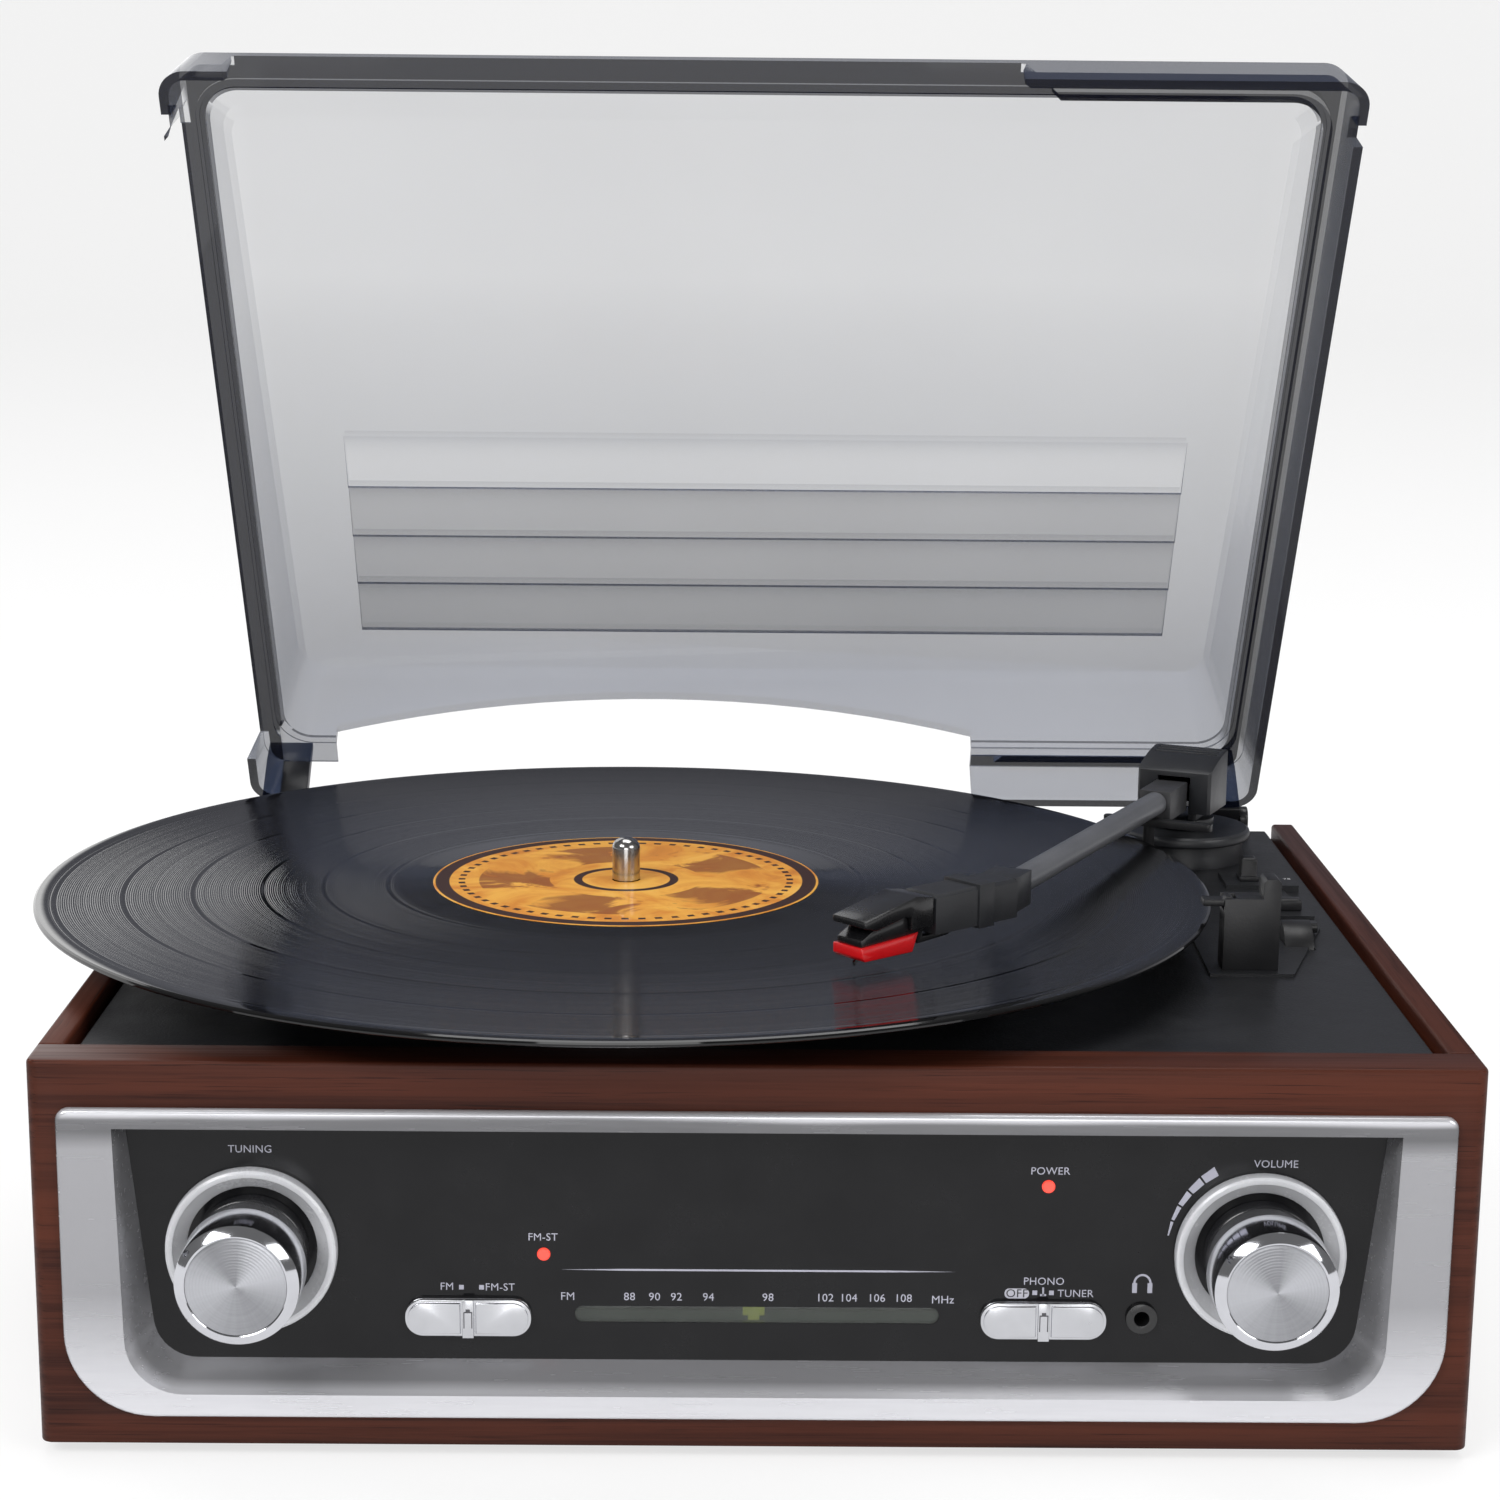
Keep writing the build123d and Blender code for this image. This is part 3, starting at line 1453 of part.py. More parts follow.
with BuildPart() as pointer_part:
    with BuildSketch(upright(pointer_y)):
        with Locations((dial_pointer_x, dial_z)):
            Rectangle(dial_pointer_width, dial_pointer_height)
    extrude(amount=-dial_pointer_thickness)
    with BuildSketch(sideways(dial_pointer_x)):
        with Locations((rail_y, dial_z)):
            Circle(pointer_hub_radius)
    extrude(amount=pointer_hub_length / 2, both=True)
    with BuildSketch(sideways(dial_pointer_x)):
        with Locations((rail_y, dial_z)):
            Circle(pointer_rail_radius + running_fit)
    extrude(amount=pointer_hub_length, both=True, mode=Mode.SUBTRACT)
pointer_part.part.label = "dial_pointer"
export_step(pointer_part.part, "parts/dial_pointer.step")

# Knobs: a ring dish on the fascia, and the turned knob with its shaft
with BuildPart() as dishes_part:
    for dish_x in (-knob_x, knob_x):
        with BuildSketch(control_profile(dish_x, knob_z)):
            with BuildLine():
                Polyline(
                    (dish_throat, fascia_y),
                    (dish_radius, fascia_y),
                    (dish_radius, fascia_y - dish_proud + 0.8),
                    (dish_radius - 0.6, fascia_y - dish_proud),
                    (dish_lip, fascia_y - dish_proud),
                    (dish_throat, fascia_y - 0.6),
                    close=True,
                )
            make_face()
        revolve(axis=control_axis(dish_x, knob_z))
dishes_part.part.label = "knob_dishes"
export_step(dishes_part.part, "parts/knob_dishes.step")

cap_back_y = knob_face_y + knob_cap_depth
shaft_end_y = fascia_back_y + knob_shaft_depth
for knob_name, turned_x in (("tuning_knob", -knob_x), ("volume_knob", knob_x)):
    with BuildPart() as knob_part:
        with BuildSketch(control_profile(turned_x, knob_z)):
            with BuildLine():
                Polyline(
                    (0, knob_face_y + 0.3),
                    (knob_face_radius - 0.6, knob_face_y + 0.3),
                    (knob_face_radius, knob_face_y),
                    (knob_radius - 0.5, knob_face_y + 1),
                    (knob_radius, knob_face_y + 1.8),
                    (knob_radius, cap_back_y),
                    (knob_groove_radius, cap_back_y),
                    (knob_groove_radius, cap_back_y + knob_groove),
                    (knob_skirt_radius, cap_back_y + knob_groove),
                    (knob_skirt_radius, fascia_y - soft_gap),
                    (knob_shaft_radius, fascia_y - soft_gap),
                    (knob_shaft_radius, shaft_end_y),
                    (0, shaft_end_y),
                    close=True,
                )
            make_face()
        revolve(axis=control_axis(turned_x, knob_z))
    knob_part.part.label = knob_name
    export_step(knob_part.part, f"parts/{knob_name}.step")

# Tuner box and volume control, between the fascia and its board
control_depth = panel_board_y - fascia_back_y - 1
with BuildPart() as tuner_part:
    with BuildSketch(upright(fascia_back_y + 1)):
        with Locations((-knob_x, knob_z)):
            Rectangle(tuner_box, tuner_box)
            Circle(knob_shaft_radius + running_fit, mode=Mode.SUBTRACT)
    extrude(amount=-control_depth)
tuner_part.part.label = "tuner_box"
export_step(tuner_part.part, "parts/tuner_box.step")

with BuildPart() as control_part:
    with BuildSketch(upright(fascia_back_y + 1)):
        with Locations((knob_x, knob_z)):
            Circle(control_radius)
            Circle(knob_shaft_radius + running_fit, mode=Mode.SUBTRACT)
    extrude(amount=-control_depth)
control_part.part.label = "volume_control"
export_step(control_part.part, "parts/volume_control.step")

# Switches: pill-shaped plates, the sliding caps in front and the switch bodies behind
with BuildPart() as pills_part:
    with BuildSketch(upright(fascia_y)):
        with Locations((-switch_x, switch_z), (switch_x, switch_z)):
            RectangleRounded(pill_length, pill_width, pill_width / 2.1)
            Rectangle(pill_slot_length, pill_slot_width, mode=Mode.SUBTRACT)
    extrude(amount=pill_proud)
pills_part.part.label = "switch_plates"
export_step(pills_part.part, "parts/switch_plates.step")

slider_back_y = fascia_y - pill_proud - soft_gap
slider_front_y = slider_back_y - slider_thickness
pad_height = pill_width - 2 * slider_pad_inset
for slider_name, slider_x in (("mode_slider", -switch_x), ("function_slider", switch_x)):
    with BuildPart() as slider_part:
        with BuildSketch(upright(slider_back_y)):
            with Locations((slider_x, switch_z)):
                RectangleRounded(pill_length, pill_width, pill_width / 2.1)
        extrude(amount=slider_thickness)
        # a raised pad at each end, and the grip between them
        with BuildSketch(upright(slider_front_y)):
            with Locations((slider_x, switch_z)):
                RectangleRounded(pill_length - 2 * slider_pad_inset, pad_height, pad_height / 2.1)
                Rectangle(slider_waist, pill_width, mode=Mode.SUBTRACT)
        extrude(amount=slider_pad_proud)
        with BuildSketch(upright(slider_front_y)):
            with Locations((slider_x, switch_z)):
                Rectangle(slider_grip_width, slider_grip_height)
        extrude(amount=slider_grip_proud)
        with BuildSketch(upright(slider_back_y)):
            with Locations((slider_x, switch_z)):
                Rectangle(slider_stem_width, slider_stem_width)
        extrude(amount=-slider_stem_length)
    slider_part.part.label = slider_name
    export_step(slider_part.part, f"parts/{slider_name}.step")

with BuildPart() as bodies_part:
    with BuildSketch(upright(fascia_back_y)):
        with Locations((-switch_x, switch_z), (switch_x, switch_z)):
            Rectangle(switch_body_length, switch_body_height)
    extrude(amount=-(panel_board_y - fascia_back_y))
    with BuildSketch(upright(fascia_back_y)):
        with Locations((-switch_x, switch_z), (switch_x, switch_z)):
            Rectangle(pill_slot_length, pill_slot_width)
    extrude(amount=-slider_stem_length, mode=Mode.SUBTRACT)
bodies_part.part.label = "slide_switches"
export_step(bodies_part.part, "parts/slide_switches.step")

# Headphone jack and the two lamps
with BuildPart() as jack_part:
    with BuildSketch(upright(fascia_y)):
        with Locations((jack_x, jack_z)):
            Circle(jack_nut_radius)
    extrude(amount=jack_nut_proud)
    with BuildSketch(upright(fascia_y)):
        with Locations((jack_x, jack_z)):
            Circle(jack_barrel_radius)
    extrude(amount=-fascia_thickness)
    with BuildSketch(upright(fascia_back_y)):
        with Locations((jack_x, jack_z)):
            Circle(jack_body_radius)
    extrude(amount=-(panel_board_y - fascia_back_y))
    with BuildSketch(upright(fascia_y - jack_nut_proud)):
        with Locations((jack_x, jack_z)):
            Circle(jack_bore_radius)
    extrude(amount=-jack_bore_depth, mode=Mode.SUBTRACT)
jack_part.part.label = "headphone_jack"
export_step(jack_part.part, "parts/headphone_jack.step")

with BuildPart() as lamps_part:
    with BuildSketch(upright(fascia_y - lamp_proud)):
        with Locations((stereo_lamp_x, stereo_lamp_z), (power_lamp_x, power_lamp_z)):
            Circle(lamp_radius)
    extrude(amount=-(fascia_thickness + lamp_proud + 2))
    chamfer(lamps_part.edges().group_by(Axis.Y)[0], lamp_proud / 2)
    with BuildSketch(upright(fascia_back_y)):
        with Locations((stereo_lamp_x, stereo_lamp_z), (power_lamp_x, power_lamp_z)):
            Circle(lamp_lead_radius)
    extrude(amount=-(panel_board_y - fascia_back_y))
lamps_part.part.label = "indicator_lamps"
export_step(lamps_part.part, "parts/indicator_lamps.step")

with BuildPart() as panel_board_part:
    with BuildSketch(upright(panel_board_y)):
        with Locations((0, case_bottom + (panel_board_bottom + panel_board_top) / 2)):
            Rectangle(2 * panel_board_half_width, panel_board_top - panel_board_bottom)
    extrude(amount=-panel_board_thickness)
panel_board_part.part.label = "panel_board"
export_step(panel_board_part.part, "parts/panel_board.step")

# Main board on its standoffs, with the larger parts of the amplifier
board_z = base_top_z + standoff_height
parts_z = board_z + main_board_thickness
standoff_spread_x = main_board_width - 2 * standoff_inset
standoff_spread_y = main_board_depth - 2 * standoff_inset
with BuildPart() as main_board_part:
    with BuildSketch(level(base_top_z)):
        with Locations((main_board_x, main_board_y)):
            with GridLocations(standoff_spread_x, standoff_spread_y, 2, 2):
                Circle(standoff_radius)
    extrude(amount=standoff_height)
    with BuildSketch(level(board_z)):
        with Locations((main_board_x, main_board_y)):
            Rectangle(main_board_width, main_board_depth)
    extrude(amount=main_board_thickness)
    with BuildSketch(level(parts_z)):
        with Locations((main_board_x, main_board_y)):
            with GridLocations(2 * chip_size, 0, 2, 1):
                Rectangle(chip_size, chip_size)
    extrude(amount=chip_height)
    with BuildSketch(level(parts_z)):
        with Locations((main_board_x, main_board_y + 1.5 * chip_size)):
            with GridLocations(1.2 * chip_size, 0, 4, 1):
                Circle(capacitor_radius)
    extrude(amount=capacitor_height)
main_board_part.part.label = "main_board"
export_step(main_board_part.part, "parts/main_board.step")

with BuildPart() as transformer_part:
    with BuildSketch(level(base_top_z)):
        with Locations((transformer_x, transformer_y)):
            Rectangle(transformer_width, transformer_depth)
    extrude(amount=transformer_height)
    with BuildSketch(level(base_top_z + bobbin_inset)):
        with Locations((transformer_x, transformer_y)):
            Rectangle(
                transformer_width - 2 * bobbin_inset, transformer_depth + 2 * bobbin_proud
            )
    extrude(amount=transformer_height - 2 * bobbin_inset)
transformer_part.part.label = "power_transformer"
export_step(transformer_part.part, "parts/power_transformer.step")

# Speakers over the slots in the base
cone_top_z = base_top_z + speaker_flange + speaker_cone_height
with BuildPart() as speakers_part:
    for cone_x in (-speaker_x, speaker_x):
        with BuildSketch(profile_at(cone_x, speaker_y)):
            with BuildLine():
                Polyline(
                    (0, cone_top_z - speaker_flange),
                    (speaker_neck_radius / 2, cone_top_z - speaker_flange),
                    (speaker_radius - 2 * speaker_flange, base_top_z),
                    (speaker_radius, base_top_z),
                    (speaker_radius, base_top_z + speaker_flange),
                    (speaker_radius - speaker_flange, base_top_z + speaker_flange),
                    (speaker_neck_radius, cone_top_z),
                    (speaker_neck_radius, cone_top_z + speaker_magnet_height),
                    (0, cone_top_z + speaker_magnet_height),
                    close=True,
                )
            make_face()
        revolve(axis=upright_axis(cone_x, speaker_y))
speakers_part.part.label = "speakers"
export_step(speakers_part.part, "parts/speakers.step")

# Rear sockets and the gland for the mains cord
with BuildPart() as phono_part:
    with BuildSketch(upright(back_inner_y)):
        with Locations((phono_jack_x, phono_z)):
            Rectangle(jack_plate_width, jack_plate_height)
    extrude(amount=jack_plate_thickness)
    with BuildSketch(upright(back_inner_y - jack_plate_thickness)):
        with Locations((phono_jack_x, phono_z)):
            Rectangle(2 * phono_jack_pitch, phono_jack_pitch)
    extrude(amount=jack_block_depth)
    with BuildSketch(upright(back_inner_y)):
        with Locations((phono_jack_x, phono_z)):
            with GridLocations(phono_jack_pitch, 0, 2, 1):
                Circle(phono_neck_radius)
    extrude(amount=-(back_panel + soft_gap))
    with BuildSketch(upright(case_depth + soft_gap)):
        with Locations((phono_jack_x, phono_z)):
            with GridLocations(phono_jack_pitch, 0, 2, 1):
                Circle(phono_pin_radius)
    extrude(amount=-(phono_pin_length - soft_gap))
    with BuildSketch(upright(case_depth + phono_pin_length)):
        with Locations((phono_jack_x, phono_z)):
            with GridLocations(phono_jack_pitch, 0, 2, 1):
                Circle(phono_bore_radius)
    extrude(amount=phono_pin_length + back_panel, mode=Mode.SUBTRACT)
phono_part.part.label = "rear_jacks"
export_step(phono_part.part, "parts/rear_jacks.step")

with BuildPart() as gland_part:
    with BuildSketch(upright(back_inner_y)):
        with Locations((gland_x, gland_z)):
            Circle(gland_radius)
    extrude(amount=-back_panel)
    with BuildSketch(upright(case_depth)):
        with Locations((gland_x, gland_z)):
            Circle(gland_flange_radius)
    extrude(amount=-gland_flange)
    with BuildSketch(upright(back_inner_y)):
        with Locations((gland_x, gland_z)):
            Circle(gland_flange_radius)
    extrude(amount=2 * gland_flange)
    with BuildSketch(upright(case_depth + gland_flange)):
        with Locations((gland_x, gland_z)):
            Circle(gland_bore_radius)
    extrude(amount=back_panel + 3 * gland_flange, mode=Mode.SUBTRACT)
gland_part.part.label = "cord_gland"
export_step(gland_part.part, "parts/cord_gland.step")


def lid_point(v, w):
    """Point in the middle of the open lid, from its distance forward and its height."""
    return (
        case_x + lid_middle_x,
        front_y + lid_origin_y - v * cos(open_turn) + w * sin(open_turn),
        lid_origin_z + v * sin(open_turn) + w * cos(open_turn),
    )


def lid_level(w):
    """Plane parallel to the lid's rim at a height above it: y towards the hinges."""
    return Plane(
        origin=lid_point(0, w), x_dir=(1, 0, 0), z_dir=(0, sin(open_turn), cos(open_turn))
    )


def lid_side(x):
    """Plane along the lid, off its middle by x: x is v and y is w."""
    middle = lid_point(0, 0)
    return Plane(
        origin=(middle[0] + x, middle[1], middle[2]),
        x_dir=(0, -cos(open_turn), sin(open_turn)),
        z_dir=(-1, 0, 0),
    )


def lid_across(v):
    """Plane across the lid that faces its front edge: x across, y is w."""
    return Plane(
        origin=lid_point(v, 0), x_dir=(1, 0, 0), z_dir=(0, -cos(open_turn), sin(open_turn))
    )


# The roof of the lid falls towards the front edge
roof_run = roof_front - roof_rear
roof_drop = roof_rear_height - roof_front_height
roof_fall = roof_drop / roof_run
roof_turn = open_turn - atan2(roof_drop, roof_run)


def roof_plane(depth):
    """Plane of the lid's roof, moved in by a depth: y towards the hinges, x across."""
    middle = lid_point((roof_rear + roof_front) / 2, (roof_rear_height + roof_front_height) / 2)
    return Plane(
        origin=(
            middle[0],
            middle[1] - depth * sin(roof_turn),
            middle[2] - depth * cos(roof_turn),
        ),
        x_dir=(1, 0, 0),
        z_dir=(0, sin(roof_turn), cos(roof_turn)),
    )


def lid_outline(plane, rear, front, rear_half, front_half, corner, inset):
    """Rounded outline across the lid, from its rear edge to its front edge."""
    with BuildSketch(plane) as outline:
        with BuildLine():
            Polyline(
                (-rear_half + inset, -rear - inset),
                (-front_half + inset, -front + inset),
                (front_half - inset, -front + inset),
                (rear_half - inset, -rear - inset),
                close=True,
            )
        make_face()
        fillet(outline.vertices(), corner - min(inset, corner / 2))
    return outline.sketch


def rim_outline(w, inset):
    """Outline of the lid's skirt at a height above the rim."""
    draft = skirt_draft * w / skirt_height
    return lid_outline(
        lid_level(w),
        lid_rear + draft,
        lid_front - draft,
        lid_rear_half_width - draft,
        lid_front_half_width - draft,
        lid_corner,
        inset,
    )


def dome_outline(w, inset):
    """Outline where the dome stands on the skirt's ledge."""
    return lid_outline(
        lid_level(w),
        dome_rear,
        dome_front,
        dome_rear_half_width,
        dome_front_half_width,
        dome_corner,
        inset,
    )


def roof_outline(inset):
    """Outline of the lid's roof, moved in all round by the inset."""
    half_run = hypot(roof_run, roof_drop) / 2
    return lid_outline(
        roof_plane(inset),
        -half_run,
        half_run,
        roof_rear_half_width,
        roof_front_half_width,
        roof_corner,
        inset,
    )


def bead_half_width(v):
    """Half the width over the bead at a distance forward."""
    widening = (dome_front_half_width - dome_rear_half_width) / (dome_front - dome_rear)
    return dome_rear_half_width + widening * (v - dome_rear)


ledge_under = skirt_height - lid_wall
cut_low = -5.0
cut_half = lid_front_half_width + 10
cut_height = skirt_cut_height - cut_low
louvre_top = roof_rear_height + roof_fall * roof_rear - lid_wall
with BuildPart() as lid_part:
    loft([rim_outline(0, 0), rim_outline(skirt_height, 0)], ruled=True)
    loft([dome_outline(ledge_under, 0), roof_outline(0)], ruled=True)
    loft(
        [rim_outline(-1, lid_wall), rim_outline(ledge_under, lid_wall)],
        ruled=True,
        mode=Mode.SUBTRACT,
    )
    # bead below the ledge, round the foot of the dome
    extrude(dome_outline(ledge_under - bead_drop, 0), amount=bead_drop)
    extrude(
        dome_outline(ledge_under - bead_drop - 1, bead_width),
        amount=bead_drop + 1,
        mode=Mode.SUBTRACT,
    )
    loft(
        [dome_outline(ledge_under - 0.1, lid_wall), roof_outline(lid_wall)],
        ruled=True,
        mode=Mode.SUBTRACT,
    )
    # louvres on the inside of the roof
    for louvre in range(louvres):
        near_v = louvre_rear + louvre * louvre_pitch
        far_v = near_v + louvre_pitch
        with BuildSketch(lid_side(louvre_x)):
            with BuildLine():
                Polyline(
                    (near_v, louvre_top + louvre_tip - near_v * roof_fall),
                    (far_v, louvre_top + louvre_tip - far_v * roof_fall),
                    (far_v, louvre_top - louvre_tip - far_v * roof_fall),
                    (near_v, louvre_top - louvre_step - near_v * roof_fall),
                    close=True,
                )
            make_face()
        extrude(amount=louvre_length / 2, both=True)
    # cut-outs of the skirt in front and at the left, where the record stands out
    with BuildSketch(lid_across(dome_front + bead_gap)):
        with Locations(((front_cut_left + front_cut_right) / 2, skirt_cut_height - cut_height / 2)):
            Rectangle(front_cut_right - front_cut_left, cut_height)
    extrude(amount=lid_front - dome_front, mode=Mode.SUBTRACT)
    with BuildSketch(lid_level(cut_low)):
        with BuildLine():
            Polyline(
                (-cut_half, -side_cut_rear),
                (-cut_half, -side_cut_front),
                (-bead_half_width(side_cut_front) - bead_gap, -side_cut_front),
                (-bead_half_width(side_cut_rear) - bead_gap, -side_cut_rear),
                close=True,
            )
        make_face()
    extrude(amount=cut_height, mode=Mode.SUBTRACT)
    # room for the record below the bead, as the lid lies when it is shut
    with BuildSketch(lid_level(cut_low)):
        with Locations((record_x - lid_middle_x, record_y - hinge_y)):
            Circle(record_radius + lid_record_gap)
    extrude(amount=record_cut_height - cut_low, mode=Mode.SUBTRACT)
    # the arch through the rear wall
    with BuildSketch(lid_across(-2)):
        with BuildLine():
            Polyline(
                (arch_left, arch_spring),
                (arch_left, rear_cut_height),
                (rear_cut_left, rear_cut_height),
                (rear_cut_left, cut_low),
                (front_cut_right, cut_low),
                (front_cut_right, arch_spring),
            )
            ThreePointArc(
                (front_cut_right, arch_spring),
                ((arch_left + front_cut_right) / 2, arch_crown),
                (arch_left, arch_spring),
            )
        make_face()
    extrude(amount=roof_rear + lid_wall + 2, mode=Mode.SUBTRACT)
    # finger notches near the front ends of both sides
    with BuildSketch(lid_side(0)):
        with Locations((notch_v, (notch_height + cut_low) / 2)):
            Rectangle(notch_length, notch_height - cut_low)
    extrude(amount=cut_half, both=True, mode=Mode.SUBTRACT)
lid_part.part.label = "lid"
export_step(lid_part.part, "parts/lid.step")

# Hinge leaves on the lid: a knuckle, and a flag that lies against the rear of the skirt
leaf_slope = skirt_draft / skirt_height
leaf_top_v = lid_rear + skirt_draft
with BuildPart() as leaves_part:
    for leaf_x in (-hinge_x, hinge_x):
        with BuildSketch(lid_side(leaf_x - lid_middle_x)):
            with BuildLine():
                Polyline(
                    (hinge_leaf_back, -hinge_leaf_drop),
                    (lid_rear - hinge_leaf_drop * leaf_slope, -hinge_leaf_drop),
                    (leaf_top_v, skirt_height),
                    (leaf_top_v, hinge_leaf_height),
                    (leaf_top_v - hinge_leaf_back, hinge_leaf_height),
                    (hinge_leaf_back, lid_axis_height + hinge_knuckle_radius / 2),
                    close=True,
                )
            make_face()
            with Locations((0, lid_axis_height)):
                Circle(hinge_knuckle_radius)
                Circle(hinge_pin_radius + running_fit, mode=Mode.SUBTRACT)
        extrude(amount=hinge_leaf_width / 2, both=True)
leaves_part.part.label = "hinge_leaves"
export_step(leaves_part.part, "parts/hinge_leaves.step")

# Hinge brackets on the deck: a foot, two ears and the pin between them
ear_inner = hinge_leaf_width / 2 + soft_gap
ear_outer = ear_inner + hinge_ear
with BuildPart() as brackets_part:
    for bracket_x in (-hinge_x, hinge_x):
        with BuildSketch(level(deck_z)):
            with Locations((bracket_x, hinge_y)):
                Rectangle(2 * ear_outer, 2 * hinge_ear_radius)
        extrude(amount=hinge_foot)
        for ear_low in (-ear_outer, ear_inner):
            with BuildSketch(sideways(bracket_x + ear_low)):
                with Locations((hinge_y, hinge_z)):
                    Circle(hinge_ear_radius)
                with Locations((hinge_y, (deck_z + hinge_z) / 2)):
                    Rectangle(2 * hinge_ear_radius, hinge_z - deck_z)
            extrude(amount=hinge_ear)
        with BuildSketch(sideways(bracket_x - ear_outer)):
            with Locations((hinge_y, hinge_z)):
                Circle(hinge_pin_radius)
        extrude(amount=2 * ear_outer)
brackets_part.part.label = "hinge_brackets"
export_step(brackets_part.part, "parts/hinge_brackets.step")
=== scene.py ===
import json
from math import cos, pi, radians, sin

import bmesh
import bpy
from mathutils import Matrix, Vector


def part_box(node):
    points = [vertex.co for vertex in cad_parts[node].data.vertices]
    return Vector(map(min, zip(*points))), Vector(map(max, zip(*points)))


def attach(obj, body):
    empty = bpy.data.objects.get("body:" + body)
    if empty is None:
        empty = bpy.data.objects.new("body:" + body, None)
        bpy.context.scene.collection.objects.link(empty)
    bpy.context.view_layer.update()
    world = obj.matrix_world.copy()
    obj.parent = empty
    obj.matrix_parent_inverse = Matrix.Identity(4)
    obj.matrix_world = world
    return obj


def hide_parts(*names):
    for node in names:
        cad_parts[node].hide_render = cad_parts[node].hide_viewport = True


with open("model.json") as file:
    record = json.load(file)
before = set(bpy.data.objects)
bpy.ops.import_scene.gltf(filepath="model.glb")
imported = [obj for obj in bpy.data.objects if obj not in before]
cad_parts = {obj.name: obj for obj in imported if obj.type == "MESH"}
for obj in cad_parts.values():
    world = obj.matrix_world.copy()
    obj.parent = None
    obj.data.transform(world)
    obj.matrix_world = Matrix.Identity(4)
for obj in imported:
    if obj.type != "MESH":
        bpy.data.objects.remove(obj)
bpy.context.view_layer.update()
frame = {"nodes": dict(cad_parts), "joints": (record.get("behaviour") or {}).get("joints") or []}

bl_info = {
    "name": "Record player with radio",
    "version": (1, 0, 0),
    "blender": (4, 5, 0),
    "location": "3D View > Sidebar > Record player",
    "description": "Dresses the packed record player and sets it on a pale studio floor",
    "category": "Object",
}

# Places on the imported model

front_low, front_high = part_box("front_board")
case_middle = Vector(((front_low.x + front_high.x) / 2, front_low.y, front_low.z))
fascia_front = (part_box("fascia")[0].y - front_low.y) * 1000
record_low, record_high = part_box("record")
record_middle = (record_low + record_high) / 2

# How far aside and how high both knobs stand, in millimetres
knob_side = 114.6
knob_height = 44.8

backward = Vector((0, 1, 0))
upward = Vector((0, 0, 1))


def spot(x, y, z):
    """Point in metres from millimetres right of, behind and above the case's front."""
    return case_middle + Vector((x, y, z)) / 1000


def tone(red, green, blue):
    """Linear colour of a screen colour given in steps of 255."""
    return tuple(
        c / 12.92 if c <= 0.04045 else ((c + 0.055) / 1.055) ** 2.4
        for c in (red / 255, green / 255, blue / 255)
    )


def shaded(shade, factor):
    """A colour made lighter or darker, up to full brightness."""
    return tuple(min(1.0, c * factor) for c in shade)


def colour(words, red, green, blue):
    """A colour that the user can change."""
    return bpy.props.FloatVectorProperty(
        name=words,
        description=f"Colour of the {words.lower()}",
        subtype="COLOR",
        size=3,
        min=0,
        max=1,
        default=tone(red, green, blue),
    )


def size(words, default, about):
    """A length in millimetres that the user can change."""
    return bpy.props.FloatProperty(name=words, description=about, default=default)


# Settings


class StageSettings(bpy.types.PropertyGroup):
    floor_colour: colour("Floor", 240, 240, 240)
    lens: bpy.props.FloatProperty(
        name="Lens", description="Focal length on a 36 mm frame", default=76.76, unit="CAMERA"
    )
    pitch: bpy.props.FloatProperty(
        name="Pitch", description="How far the camera looks down", default=0.22505, subtype="ANGLE"
    )


class CaseSettings(bpy.types.PropertyGroup):
    veneer_colour: colour("Veneer", 68, 34, 24)
    grain_colour: colour("Veneer grain", 40, 17, 12)
    deck_colour: colour("Deck", 25, 26, 29)


class PanelSettings(bpy.types.PropertyGroup):
    silver_colour: colour("Silver frame", 196, 196, 200)
    fascia_colour: colour("Fascia", 17, 17, 19)
    print_colour: colour("Printing", 165, 165, 178)
    lamp_colour: colour("Lamps", 240, 70, 55)
    print_height: size("Printing height", 2.5, "Height of the small capitals in mm")


class RecordSettings(bpy.types.PropertyGroup):
    vinyl_colour: colour("Vinyl", 12, 12, 13)
    label_colour: colour("Label", 222, 142, 44)
    ink_colour: colour("Label ink", 58, 26, 12)
    groove_pitch: size("Groove pitch", 0.55, "Distance between shaded grooves in mm")


class ArmSettings(bpy.types.PropertyGroup):
    plastic_colour: colour("Arm plastic", 38, 39, 42)
    tube_colour: colour("Arm tube", 92, 93, 97)
    stylus_colour: colour("Stylus carrier", 205, 18, 24)
    edge_rounding: size("Edge rounding", 0.35, "Rounding of moulded edges in mm")


class LidSettings(bpy.types.PropertyGroup):
    smoke_colour: colour("Smoked plastic", 72, 84, 112)
    edge_shade_colour: colour("Cut edges", 8, 11, 26)


# Shader sums


